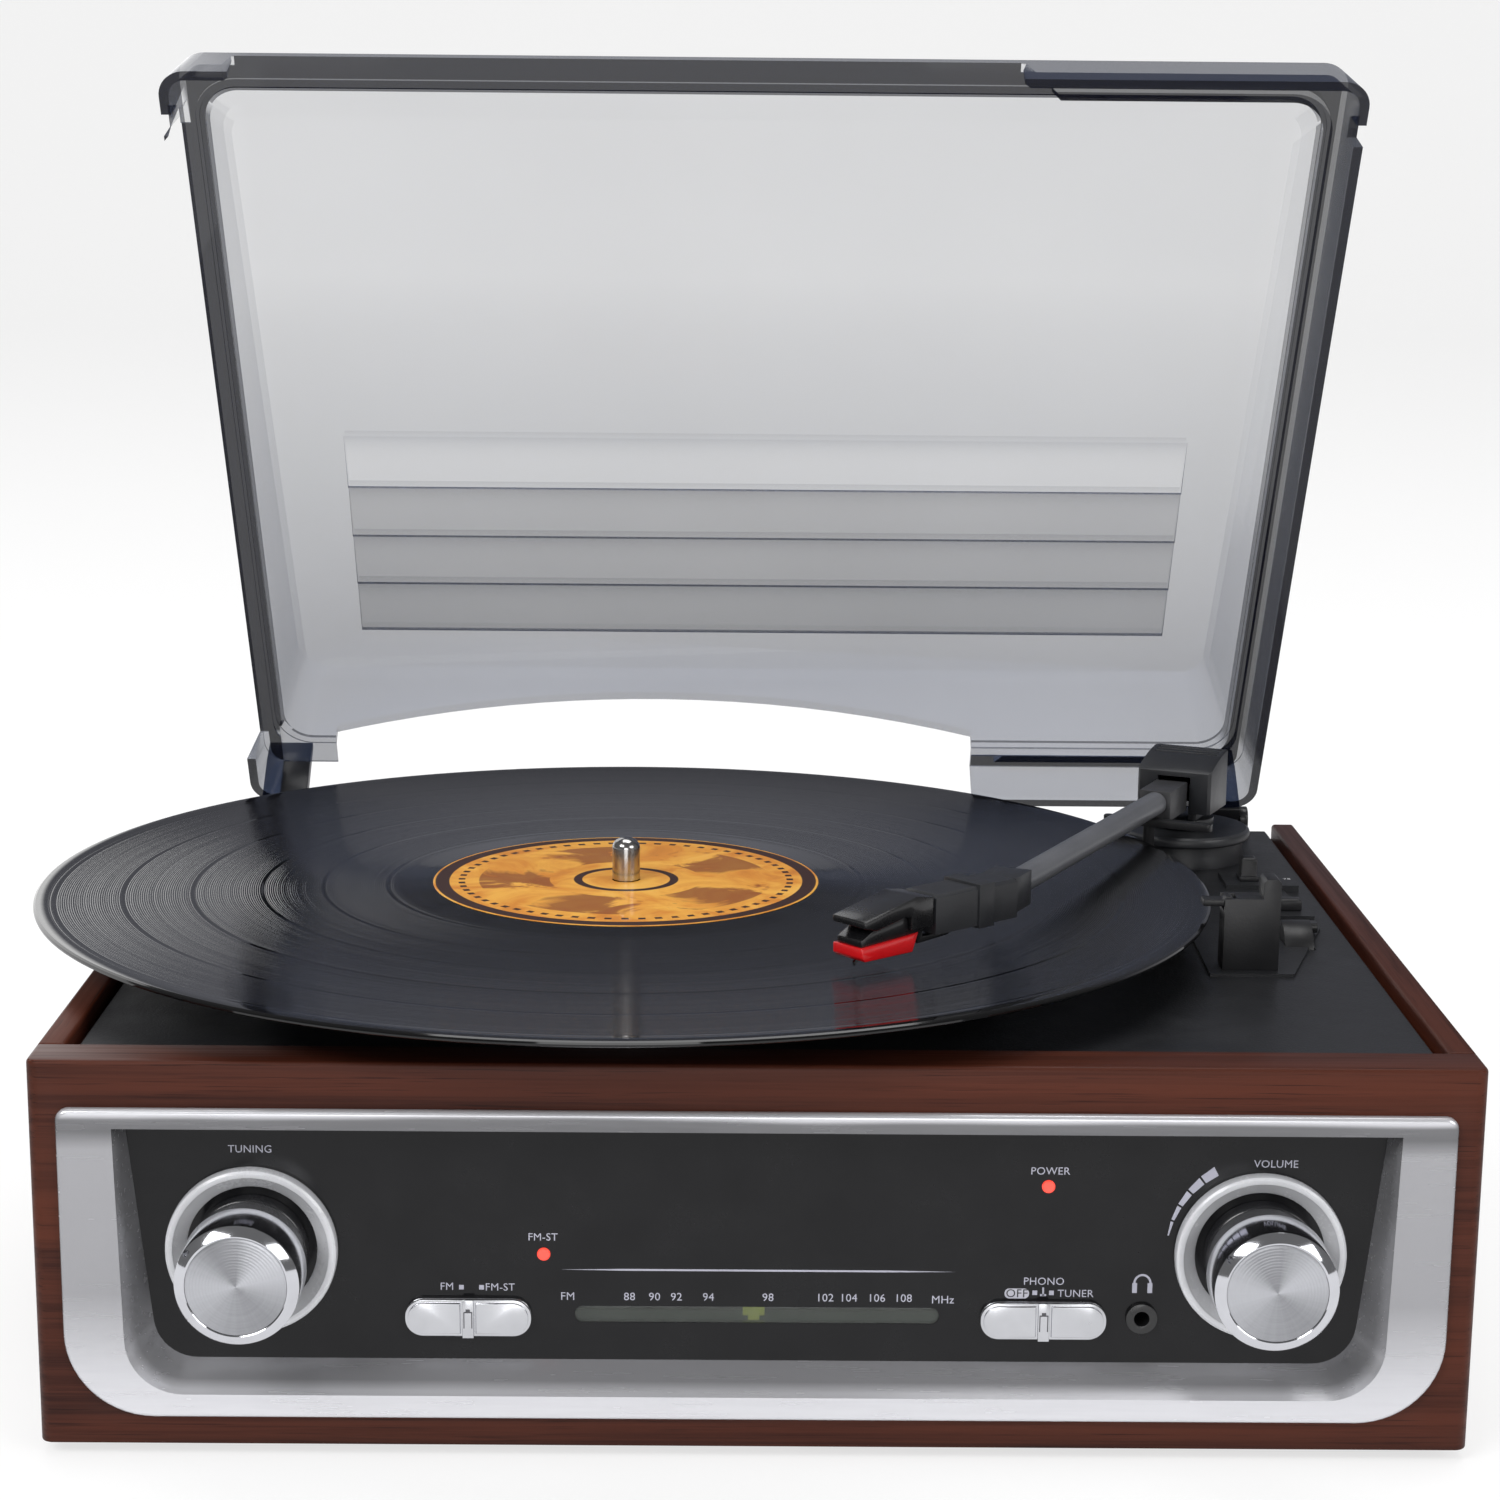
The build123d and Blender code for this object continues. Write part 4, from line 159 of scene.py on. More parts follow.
class Reading:
    """One shader socket that can be used in sums."""

    def __init__(self, finish, socket):
        self.finish = finish
        self.socket = socket

    def sum(self, operation, first, second=None):
        values = {0: first} if second is None else {0: first, 1: second}
        return self.finish.node("ShaderNodeMath", {"operation": operation}, values)

    def __add__(self, other):
        return self.sum("ADD", self, other)

    __radd__ = __add__

    def __sub__(self, other):
        return self.sum("SUBTRACT", self, other)

    def __rsub__(self, other):
        return self.sum("SUBTRACT", other, self)

    def __mul__(self, other):
        return self.sum("MULTIPLY", self, other)

    __rmul__ = __mul__

    def __truediv__(self, other):
        return self.sum("DIVIDE", self, other)

    def __pow__(self, other):
        return self.sum("POWER", self, other)

    def __gt__(self, other):
        return self.sum("GREATER_THAN", self, other)

    def __lt__(self, other):
        return self.sum("LESS_THAN", self, other)

    def wave(self):
        """Sine of this value."""
        return self.sum("SINE", self)

    def size(self):
        """This value without its sign."""
        return self.sum("ABSOLUTE", self)

    def fraction(self):
        """What this value has above the next lower whole number."""
        return self.sum("FRACT", self)

    def larger(self, other):
        """The larger of two values."""
        return self.sum("MAXIMUM", self, other)

    def angle(self, other):
        """Angle whose tangent is this value over another one."""
        return self.sum("ARCTAN2", self, other)


def distance(first, second):
    """Distance from the middle, from two coordinates."""
    return (first * first + second * second) ** 0.5


class Finish:
    """A material that is built up node by node, from the object's own coordinates."""

    def __init__(self, name):
        self.material = bpy.data.materials.new(name)
        self.material.use_nodes = True
        self.tree = self.material.node_tree
        self.tree.nodes.clear()
        self.place = self.node("ShaderNodeTexCoord", {}, {}, "Object")

    def node(self, kind, settings, sockets, output=0):
        """Adds a node, first its settings and then its values or links."""
        made = self.tree.nodes.new(kind)
        for key, value in settings.items():
            if key == "stops":
                while len(made.color_ramp.elements) < len(value):
                    made.color_ramp.elements.new(1)
                for stop, (where, shade) in zip(made.color_ramp.elements, value):
                    stop.position = where
                    stop.color = (*shade, 1)
            else:
                setattr(made, key, value)
        for key, value in sockets.items():
            if isinstance(value, Reading):
                self.tree.links.new(value.socket, made.inputs[key])
            elif isinstance(value, tuple) and len(value) == 3 and made.inputs[key].type == "RGBA":
                made.inputs[key].default_value = (*value, 1)
            else:
                made.inputs[key].default_value = value
        return Reading(self, made.outputs[output])

    def about(self, middle, turn=(0, 0, 0)):
        """Coordinates counted from a point, and turned."""
        moved = self.node(
            "ShaderNodeVectorMath", {"operation": "SUBTRACT"}, {0: self.place, 1: tuple(middle)}
        )
        return self.node("ShaderNodeMapping", {}, {"Vector": moved, "Rotation": turn})

    def axis(self, vector, name):
        """One coordinate of a vector."""
        return self.node("ShaderNodeSeparateXYZ", {}, {0: vector}, name)

    def on_line(self, value):
        """The point that lies at a value on the first axis."""
        return self.node("ShaderNodeCombineXYZ", {}, {0: value, 1: 0.0, 2: 0.0})

    def grain(self, stretch, detail=4.0, roughness=0.55, twist=0.0, start=None):
        """Noise of about one cycle per stretched metre."""
        source = self.place if start is None else start
        moved = self.node("ShaderNodeMapping", {}, {"Vector": source, "Scale": stretch})
        return self.node(
            "ShaderNodeTexNoise",
            {},
            {
                "Vector": moved,
                "Scale": 1.0,
                "Detail": detail,
                "Roughness": roughness,
                "Distortion": twist,
            },
        )

    def ramp(self, value, *stops):
        """Colours over a value from 0 to 1."""
        return self.node("ShaderNodeValToRGB", {"stops": stops}, {0: value})

    def fit(self, value, low, high, new_low, new_high):
        """The value's range spread over another range, and clamped."""
        return self.node(
            "ShaderNodeMapRange", {"clamp": True}, {0: value, 1: low, 2: high, 3: new_low, 4: new_high}
        )

    def blend(self, factor, first, second):
        """Mix of two colours."""
        return self.node(
            "ShaderNodeMix", {"data_type": "RGBA"}, {0: factor, 6: first, 7: second}, 2
        )

    def relief(self, height, depth, strength=0.5):
        """Surface relief from a height, its depth in metres."""
        sockets = {"Height": height, "Distance": depth, "Strength": strength}
        return self.node("ShaderNodeBump", {}, sockets)

    def done(self, **sockets):
        """Ends in the surface shader and hands over the material."""
        names = {key.replace("_", " ").title().replace("Ior", "IOR"): v for key, v in sockets.items()}
        return self.end(self.node("ShaderNodeBsdfPrincipled", {}, names))

    def end(self, shader):
        """Joins a shader to the output and hands over the material."""
        output = self.tree.nodes.new("ShaderNodeOutputMaterial")
        self.tree.links.new(shader.socket, output.inputs[0])
        return self.material


# Finishes


def veneer(name, stretch):
    """Dark red-brown veneer with fine open grain along one axis."""
    case = bpy.context.scene.player_case
    finish = Finish(name)
    cloud = finish.grain(tuple(s * 0.16 for s in stretch), 3.0, 0.5, 0.6)
    streak = finish.grain(stretch, 6.0, 0.7, 0.4)
    pore = finish.grain(tuple(s * 5 for s in stretch), 2.0, 0.6)
    dark = finish.fit(streak, 0.42, 0.68, 0, 1)
    wood = finish.blend(dark, tuple(case.veneer_colour), tuple(case.grain_colour))
    redder = finish.blend(finish.fit(cloud, 0.35, 0.7, 0, 0.45), wood, tone(100, 48, 29))
    pores = finish.fit(pore, 0.60, 0.72, 0, 0.65)
    shade = finish.blend(pores, redder, tone(24, 9, 6))
    height = pore * -0.5 + streak * -0.3
    return finish.done(
        base_color=shade,
        roughness=finish.fit(streak, 0.3, 0.7, 0.36, 0.52),
        specular_ior_level=0.16,
        coat_weight=0.03,
        coat_roughness=0.25,
        normal=finish.relief(height, 0.00012),
    )


def moulded(name, shade, roughness=0.45, relief=0.00006, scale=2600.0, coat=0.0, shine=0.5):
    """Moulded plastic or painted metal with a fine grain and faint scuffs."""
    finish = Finish(name)
    grain = finish.grain((scale,) * 3, 2.0, 0.6)
    scuff = finish.grain((60.0, 60.0, 60.0), 5.0, 0.65)
    lighter = tuple(min(1.0, c * 1.35 + 0.004) for c in shade)
    tint = finish.blend(finish.fit(scuff, 0.35, 0.75, 0, 0.6), tuple(shade), lighter)
    rough = finish.fit(scuff + grain * 0.3, 0.4, 0.95, roughness - 0.06, roughness + 0.08)
    return finish.done(
        base_color=tint,
        roughness=rough,
        specular_ior_level=shine,
        coat_weight=coat,
        coat_roughness=0.1,
        normal=finish.relief(grain, relief, 0.6),
    )


def brushed(name, shade, stretch, roughness=0.3):
    """Brushed metal, its scratches along one axis."""
    finish = Finish(name)
    scratch = finish.grain(stretch, 3.0, 0.7)
    cloud = finish.grain((25.0, 25.0, 25.0), 3.0, 0.5)
    worn = finish.fit(scratch + cloud * 0.4, 0.5, 0.9, 0, 1)
    tint = finish.blend(worn, tuple(shade), shaded(shade, 0.8))
    return finish.done(
        base_color=tint,
        metallic=0.8,
        roughness=finish.fit(scratch, 0.3, 0.7, roughness - 0.07, roughness + 0.09),
        normal=finish.relief(scratch, 0.00003),
    )


def frame_silver(name, shade):
    """Satin silver of the front frame with painted light: bright at its foot, painted shade under its
    upper edge with a painted highlight on that edge, and painted shade inside its opening.
    """
    finish = Finish(name)
    low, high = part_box("bezel")
    rise = finish.fit(finish.axis(finish.place, "Z"), low.z, high.z, 0, 1)
    cloud = finish.grain((9.0, 9.0, 9.0), 2.0, 0.5)
    fine = finish.grain((40.0, 700.0, 700.0), 2.0, 0.6)
    inner = finish.fit(finish.axis(finish.place, "Y"), low.y + 0.0012, low.y + 0.0035, 0, 1)
    # Painted light from foot to top: bright at the foot, darker above it, painted shade under the upper
    # edge and a painted highlight along that edge
    band = finish.ramp(
        rise + cloud * 0.06 - 0.03,
        (0.0, shaded(shade, 1.45)),
        (0.14, shaded(shade, 1.25)),
        (0.4, shaded(shade, 0.68)),
        (0.88, shaded(shade, 0.72)),
        (0.94, shaded(shade, 0.3)),
        (0.975, shaded(shade, 0.34)),
        (0.99, shaded(shade, 1.3)),
    )
    # Painted shade on the faces that lie deeper inside the frame's opening
    band = finish.blend(inner * 0.75, band, shaded(shade, 0.42))
    tint = finish.blend(finish.fit(fine, 0.4, 0.7, 0, 0.1), band, shaded(shade, 0.7))
    return finish.done(
        base_color=tint,
        metallic=0.55,
        roughness=finish.fit(fine, 0.3, 0.7, 0.24, 0.28),
        normal=finish.relief(fine, 0.000001, 0.1),
    )


def spun_metal(name, shade, middle, axes, pitch=0.0005, roughness=0.16, fan=0.0):
    """Turned metal with fine rings about an axis through a point, and if asked a painted fan of
    highlights in its colour.
    """
    finish = Finish(name)
    place = finish.about(middle)
    first = finish.axis(place, axes[0])
    second = finish.axis(place, axes[1])
    radius = distance(first, second)
    rings = (radius * (2 * pi / pitch)).wave()
    broad = finish.grain((900.0,) * 3, 2.0, 0.6, start=finish.on_line(radius))
    tint = finish.blend(finish.fit(broad, 0.3, 0.7, 0, 0.5), tuple(shade), shaded(shade, 0.72))
    if fan:
        # Painted highlight: bright rays about the axis stand in for the light that the fine rings spread
        angle = second.angle(first)
        rays = (angle * 2 + 0.9).wave() * 0.36 + (angle * 3 - 0.5).wave() * 0.14 + 0.5
        fine = finish.grain((7.0,) * 3, 3.0, 0.6, start=finish.on_line(angle))
        glow = finish.fit(rays + fine * 0.3 - 0.15, 0.1, 0.95, 0, 1)
        tint = finish.blend(glow * fan, tint, shaded(shade, 1.9))
    return finish.done(
        base_color=tint,
        metallic=0.75 if fan else 1.0,
        roughness=finish.fit(broad, 0.3, 0.7, roughness, roughness + 0.1),
        normal=finish.relief(rings + broad, 0.00002),
    )


def polished(name, shade, roughness=0.08):
    """Polished or plated metal with a little haze."""
    finish = Finish(name)
    haze = finish.grain((120.0,) * 3, 4.0, 0.6)
    tint = finish.blend(finish.fit(haze, 0.35, 0.7, 0, 0.35), tuple(shade), shaded(shade, 0.8))
    return finish.done(
        base_color=tint,
        metallic=1.0,
        roughness=finish.fit(haze, 0.3, 0.75, roughness, roughness + 0.08),
    )


def lit(name, shade, glow):
    """Finely specked plastic that glows a little."""
    finish = Finish(name)
    speck = finish.grain((1500.0,) * 3, 2.0, 0.6)
    tint = finish.blend(finish.fit(speck, 0.3, 0.7, 0, 0.5), tuple(shade), shaded(shade, 0.7))
    return finish.done(
        base_color=tint, roughness=0.2, emission_color=tint, emission_strength=glow, coat_weight=0.6
    )


def vinyl(name):
    """Grooved black record with smooth bands between its tracks, radii in millimetres."""
    record = bpy.context.scene.player_record
    band_radii = (61.5, 78.0, 93.5, 111.0, 128.5, 145.5)
    finish = Finish(name)
    place = finish.about(record_middle)
    radius = distance(finish.axis(place, "X"), finish.axis(place, "Y")) * 1000
    line = finish.on_line(radius)
    loud = finish.grain((0.55,) * 3, 5.0, 0.75, start=line)
    fine = finish.grain((3.2,) * 3, 3.0, 0.7, start=line)
    grooves = (radius * (2 * pi / record.groove_pitch)).wave()
    bands = None
    for band_radius in band_radii:
        band = finish.fit((radius - band_radius).size(), 0.35, 0.7, 1, 0)
        bands = band if bands is None else bands + band
    inner = finish.fit(radius, 58.0, 60.5, 1, 0)
    outer = finish.fit(radius, 146.2, 147.2, 0, 1)
    smooth = finish.node("ShaderNodeClamp", {}, {0: bands + inner + outer})
    grey = finish.blend(finish.fit(loud, 0.35, 0.7, 0, 1), tuple(record.vinyl_colour), tone(30, 30, 32))
    shade = finish.blend(smooth * 0.6, grey, tone(9, 9, 10))
    height = (grooves * 0.5 + fine * 2) * (1 - smooth)
    rough = finish.fit(loud, 0.3, 0.7, 0.07, 0.16) - smooth * 0.04
    return finish.done(
        base_color=shade,
        roughness=rough,
        specular_ior_level=0.5,
        normal=finish.relief(height, 0.00003),
    )


def label_print(name):
    """Orange paper label with soft rays, two rings and a circle of small dashes, radii in millimetres."""
    record = bpy.context.scene.player_record
    rim_radius = 47.6
    dash_radius = 42.6
    dash_count = 64
    ray_radius = 29
    inner_radius = 12.5
    finish = Finish(name)
    place = finish.about(record_middle)
    across = finish.axis(place, "X") * 1000
    along = finish.axis(place, "Y") * 1000
    radius = distance(across, along)
    angle = along.angle(across)
    blotch = finish.grain((55.0, 55.0, 55.0), 4.0, 0.6, 0.8)
    paper = finish.ramp(
        blotch,
        (0.0, tone(150, 70, 22)),
        (0.42, tuple(record.label_colour)),
        (0.6, tone(243, 178, 70)),
        (1.0, tone(250, 205, 110)),
    )
    ink = tuple(record.ink_colour)
    rim = finish.fit((radius - rim_radius).size(), 1.7, 1.9, 1, 0)
    inner_rim = finish.fit((radius - inner_radius).size(), 1.0, 1.2, 1, 0)
    rays = finish.fit((angle * 5 + blotch * 9).wave(), -0.3, 0.5, 0, 1)
    ring = finish.fit((radius - ray_radius).size(), 9.0, 9.3, 1, 0)
    uneven = (angle * dash_count).wave() + finish.grain((260.0,) * 3, 1.0) - 0.5
    dashes = finish.fit(uneven, 0.05, 0.2, 0, 1)
    circle = finish.fit((radius - dash_radius).size(), 0.75, 0.95, 1, 0) * dashes
    drawn = finish.blend(ring * rays * 0.75, paper, tone(128, 58, 18))
    for mark in (rim, inner_rim, circle):
        drawn = finish.blend(mark, drawn, ink)
    fibre = finish.grain((1800.0,) * 3, 3.0, 0.7)
    return finish.done(
        base_color=drawn, roughness=0.5, coat_weight=0.15, normal=finish.relief(fibre, 0.00003)
    )


def smoked(name):
    """Clear smoked plastic with painted shade: dark on its cut edges and along its lower sides, faintly
    striped at its louvres and darker towards the hinge.

    The lengths are millimetres in front of and above the hinge, with the lid turned shut.
    """
    lid = bpy.context.scene.player_lid
    roof_height = 30
    louvre_start = 111.1
    louvre_pitch = 17.9
    louvre_count = 4
    louvre_middle = 2.2
    louvre_half_width = 120
    finish = Finish(name)
    hinge = next(j for j in frame["joints"] if j["name"] == "lid_hinge")
    turn = radians(-hinge["range_deg"][0])
    place = finish.about(hinge["pos_m"], turn=(turn, 0, 0))
    height = finish.axis(place, "Z") * 1000
    facing = finish.node("ShaderNodeNewGeometry", {}, {}, "Normal")
    down = finish.node(
        "ShaderNodeVectorMath",
        {"operation": "DOT_PRODUCT"},
        {0: facing, 1: (0.0, -sin(turn), -cos(turn))},
        1,
    )
    forward = finish.axis(place, "Y") * -1000
    # Painted shade: the cut edges and the lower sides are made dark and nearly opaque
    rim = finish.fit(down, 0.75, 0.95, 0, 1) * finish.fit(height, 12.55, 12.75, 1, 0)
    foot = finish.fit(down.size(), 0.3, 0.55, 1, 0) * (height > 12.9) * (height < 13.7)
    wall_shade = finish.fit(down.size(), 0.3, 0.55, 1, 0) * finish.fit(height, 13.0, 13.2, 1, 0)
    wall_shade = wall_shade * finish.fit(forward, 20.0, 24.0, 0, 1)
    edges = rim.larger(wall_shade * 0.75).larger(foot * 0.8)
    slant = finish.node("ShaderNodeLayerWeight", {}, {"Blend": 0.35}, "Facing")
    haze = finish.grain((14.0, 14.0, 14.0), 3.0, 0.5)
    # Painted shade: a dark line at each louvre that fades towards the hinge
    run = (louvre_start - forward) / louvre_pitch
    inside = (run > 0) * (run < louvre_count) * (height > roof_height)
    aside = (finish.axis(place, "X") * 1000 - louvre_middle).size() < louvre_half_width
    louvre_shade = (1 - run.fraction()) ** 5 * inside * aside
    # Painted shade: less clear towards the hinge and a little clearer over the louvres
    depth = finish.fit(forward, 25.0, 165.0, 0.4, 0.12) - inside * aside * 0.05
    clear = depth + louvre_shade * 0.13 + slant * slant * slant * 0.6 + finish.fit(haze, 0.3, 0.7, 0, 0.015)
    alpha = clear + edges * (0.9 - clear)
    shade = finish.blend(edges, tuple(lid.smoke_colour), tuple(lid.edge_shade_colour))
    return finish.done(
        base_color=shade,
        roughness=finish.fit(haze, 0.3, 0.7, 0.04, 0.1),
        specular_ior_level=0.2,
        alpha=alpha,
    )


def clear_window(name):
    """Dark clear strip in front of the pointer."""
    finish = Finish(name)
    haze = finish.grain((200.0,) * 3, 3.0, 0.5)
    return finish.done(
        base_color=tone(92, 96, 92), roughness=0.12, alpha=finish.fit(haze, 0.2, 0.8, 0.36, 0.46)
    )


def pale_floor(name, shade):
    """Matt floor with a glow of its own for the camera and for reflections."""
    finish = Finish(name)
    across = finish.axis(finish.place, "X")
    along = finish.axis(finish.place, "Y")
    seen = finish.node("ShaderNodeLightPath", {}, {}, "Is Camera Ray")
    reflected = finish.node("ShaderNodeLightPath", {}, {}, "Is Glossy Ray")
    behind = finish.fit(along, 0.2, 1.4, 0, 1)
    beside = finish.fit((across + 0.008) / (along + 0.68), -0.20, -0.175, 1, 0)
    far = finish.blend(beside, (0.165, 0.17, 0.2), (1.7, 1.7, 1.7))
    mirrored = finish.blend(behind, (0.8, 0.8, 0.81), far)
    glow = finish.blend(seen, mirrored, (1.0, 1.0, 1.0))
    matt = finish.node("ShaderNodeBsdfDiffuse", {}, {"Color": shade})
    white = finish.node("ShaderNodeEmission", {}, {"Color": glow, "Strength": 1.12})
    share = 0.62 * seen + 0.9 * reflected
    return finish.end(finish.node("ShaderNodeMixShader", {}, {0: share, 1: matt, 2: white}))


def white_light(tree, strength):
    """A white background shader for the world."""
    made = tree.nodes.new("ShaderNodeBackground")
    made.inputs["Color"].default_value = (1, 1, 1, 1)
    made.inputs["Strength"].default_value = strength
    return made


# Shapes


def finished(name, shape, finish, body, replaces=(), angle=35.0):
    """Turns a bmesh into a piece that rides on a body."""
    mesh = bpy.data.meshes.new(name)
    bmesh.ops.recalc_face_normals(shape, faces=shape.faces)
    shape.to_mesh(mesh)
    shape.free()
    mesh.shade_smooth()
    mesh.set_sharp_from_angle(angle=radians(angle))
    piece = bpy.data.objects.new(name, mesh)
    bpy.context.scene.collection.objects.link(piece)
    mesh.materials.append(finish)
    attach(piece, body)
    if replaces:
        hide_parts(*replaces)


def turned(shape, rings, middle, axis, steps=96):
    """Adds a solid of revolution about an axis that runs backward or upward through a point.

    Each ring is a radius and a place along the axis, in millimetres.
    """
    out = Vector((1, 0, 0))
    corners = [
        shape.verts.new(middle + out * (radius / 1000) + axis * (rise / 1000))
        for radius, rise in rings
    ]
    line = [shape.edges.new(pair) for pair in zip(corners, corners[1:])]
    if rings[0][0] > 0.001 and rings[-1][0] > 0.001:
        line.append(shape.edges.new((corners[-1], corners[0])))
    bmesh.ops.spin(
        shape,
        geom=corners + line,
        cent=middle,
        axis=axis,
        angle=2 * pi,
        steps=steps,
        use_merge=True,
        use_duplicate=False,
    )
    bmesh.ops.remove_doubles(shape, verts=shape.verts, dist=1e-7)


def block(shape, low, high):
    """Adds a box between two corners in metres."""
    made = bmesh.ops.create_cube(shape, size=1)["verts"]
    bmesh.ops.scale(shape, vec=high - low, verts=made)
    bmesh.ops.translate(shape, vec=(low + high) / 2, verts=made)


def rounded(shape, edges, offset, segments, clamp=False):
    """Rounds edges by an offset in metres."""
    bmesh.ops.bevel(
        shape,
        geom=edges,
        offset=offset,
        segments=segments,
        profile=0.5,
        affect="EDGES",
        material=-1,
        clamp_overlap=clamp,
    )


def dressed(node, finish, body, edge=0.0, angle=35.0, segments=2):
    """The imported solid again, merged, with rounded edges and smooth curves."""
    shape = bmesh.new()
    shape.from_mesh(frame["nodes"][node].data)
    bmesh.ops.remove_doubles(shape, verts=shape.verts, dist=2e-6)
    bmesh.ops.dissolve_limit(
        shape, angle_limit=radians(0.4), verts=shape.verts, edges=shape.edges
    )
    if edge:
        sharp = [
            e for e in shape.edges if len(e.link_faces) == 2 and e.calc_face_angle(0) > radians(40)
        ]
        rounded(shape, sharp, edge / 1000, segments, clamp=True)
    finished(f"{node}_shape", shape, finish, body, (node,), angle)


def paint(finish, *nodes):
    """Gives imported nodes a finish."""
    for node in nodes:
        materials = frame["nodes"][node].data.materials
        materials.clear()
        materials.append(finish)


def lettering(shape, words, place, height, turn, spacing=1.0):
    """Adds raised letters to a bmesh, centred on a point."""
    curve = bpy.data.curves.new("letters", "FONT")
    curve.body = words
    curve.size = height / 1000 * 1.4
    curve.extrude = 0.00001
    curve.space_character = spacing
    curve.align_x = "CENTER"
    curve.align_y = "CENTER"
    curve.resolution_u = 3
    holder = bpy.data.objects.new("letters", curve)
    bpy.context.scene.collection.objects.link(holder)
    bpy.context.view_layer.update()
    mesh = bpy.data.meshes.new_from_object(
        holder.evaluated_get(bpy.context.evaluated_depsgraph_get())
    )
    mesh.transform(Matrix.Translation(place) @ turn)
    shape.from_mesh(mesh)
    bpy.data.objects.remove(holder)
    bpy.data.curves.remove(curve)
    bpy.data.meshes.remove(mesh)


# The pieces


class PLAYER_OT_case(bpy.types.Operator):
    """Dresses the veneered case, its back, base and feet"""

    bl_idname = "player.case"
    bl_label = "Case"

    def execute(self, context):
        case = context.scene.player_case
        front_veneer = veneer("veneer_front", (7.0, 300.0, 420.0))
        dressed("front_board", front_veneer, "cabinet", 0.5, 30)
        for side in ("left_board", "right_board"):
            dressed(side, veneer(f"veneer_{side}", (300.0, 7.0, 420.0)), "cabinet", 0.4, 30)
        paint(moulded("black_board", tone(34, 32, 31), 0.6, 0.0001, 900), "back_panel", "base_plate")
        paint(moulded("foot_rubber", tone(22, 22, 23), 0.75, 0.0001, 1500), "rubber_feet")
        paint(brushed("screw_steel", tone(150, 150, 155), (600.0, 600.0, 90.0)), "base_screws")
        paint(moulded("gland_plastic", tone(26, 26, 28), 0.5), "cord_gland")
        paint(moulded("rear_sockets", tone(30, 30, 32), 0.4), "rear_jacks")
        deck = moulded("deck_plastic", tuple(case.deck_colour), 0.42, 0.00012, 1500)
        dressed("deck_plate", deck, "cabinet", 0.0, 30)
        hinge = moulded("hinge_plastic", tone(24, 24, 27), 0.35, coat=0.3)
        dressed("hinge_brackets", hinge, "cabinet", 0.2, 35)
        dressed("hinge_leaves", hinge, "cover_lid", 0.3, 35)
        return {"FINISHED"}


class PLAYER_OT_inside(bpy.types.Operator):
    """Finishes the parts inside the case"""

    bl_idname = "player.inside"
    bl_label = "Inside"

    def execute(self, context):
        paint(veneer("frame_pine", (250.0, 6.0, 250.0)), "inner_frame")
        paint(moulded("board_green", tone(28, 84, 52), 0.35, coat=0.4), "panel_board", "main_board")
        plated = brushed("plated_steel", tone(150, 152, 156), (300.0, 300.0, 60.0))
        paint(plated, "motor", "tuner_box", "volume_control", "power_transformer")
        pulley_middle = spot(7.8, 186.6, 90)
        paint(spun_metal("pulley_brass", tone(196, 160, 84), pulley_middle, "XY"), "motor_pulley")
        paint(moulded("belt_rubber", tone(20, 20, 20), 0.7, 0.00008, 1500), "drive_belt")
        paint(moulded("speaker_paper", tone(30, 30, 31), 0.8, 0.0002, 700), "speakers")
        ground = polished("ground_steel", tone(190, 192, 196), 0.15)
        paint(ground, "bearing_bush", "pointer_rail", "arm_pin")
        paint(moulded("switch_body", tone(36, 36, 38), 0.5), "slide_switches")
        return {"FINISHED"}


class PLAYER_OT_panel(bpy.types.Operator):
    """Builds the silver frame, the glossy fascia and what is set into it"""

    bl_idname = "player.panel"
    bl_label = "Control panel"

    def execute(self, context):
        panel = context.scene.player_panel
        silver = frame_silver("frame_silver", tuple(panel.silver_colour))
        dressed("bezel", silver, "cabinet", 0.0, 25)
        gloss = moulded("fascia_gloss", tuple(panel.fascia_colour), 0.16, 0.000004, 300, shine=0.3)
        dressed("fascia", gloss, "cabinet", 0.0, 30)
        paint(clear_window("window_smoke"), "dial_window")
        # Painted light: the pointer is no lamp, but it is given a glow of its own
        paint(lit("pointer_lime", tone(168, 182, 70), 0.55), "dial_pointer")
        paint(lit("lamp_red", tuple(panel.lamp_colour), 0.9), "indicator_lamps")
        jack_black = moulded("jack_black", tone(20, 20, 21), 0.3, coat=0.4)
        dressed("headphone_jack", jack_black, "cabinet", 0.15, 30)
        satin = polished("satin_silver", tone(215, 216, 220), 0.2)
        dressed("switch_plates", satin, "cabinet", 0.25, 30, 3)
        for slider, body in (("function_slider", "function"), ("mode_slider", "mode")):
            dressed(slider, satin, body, 0.2, 30)
            low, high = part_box(slider)
            middle = (low + high) / 2
            shape = bmesh.new()
            mark = Vector((middle.x, low.y - 0.00002, middle.z))
            for left, right, foot, head in (
                (-0.00102, -0.00078, -0.0022, 0.0016),
                (0.00078, 0.00102, -0.0022, 0.0016),
                (-0.0010, 0.0010, 0.0015, 0.0018),
                (-0.0005, 0.0005, 0.0018, 0.0024),
            ):
                block(shape, mark + Vector((left, 0, foot)), mark + Vector((right, 0.0003, head)))
            finished(f"{slider}_mark", shape, moulded(f"{slider}_ink", tone(70, 70, 74), 0.5), body)
        return {"FINISHED"}


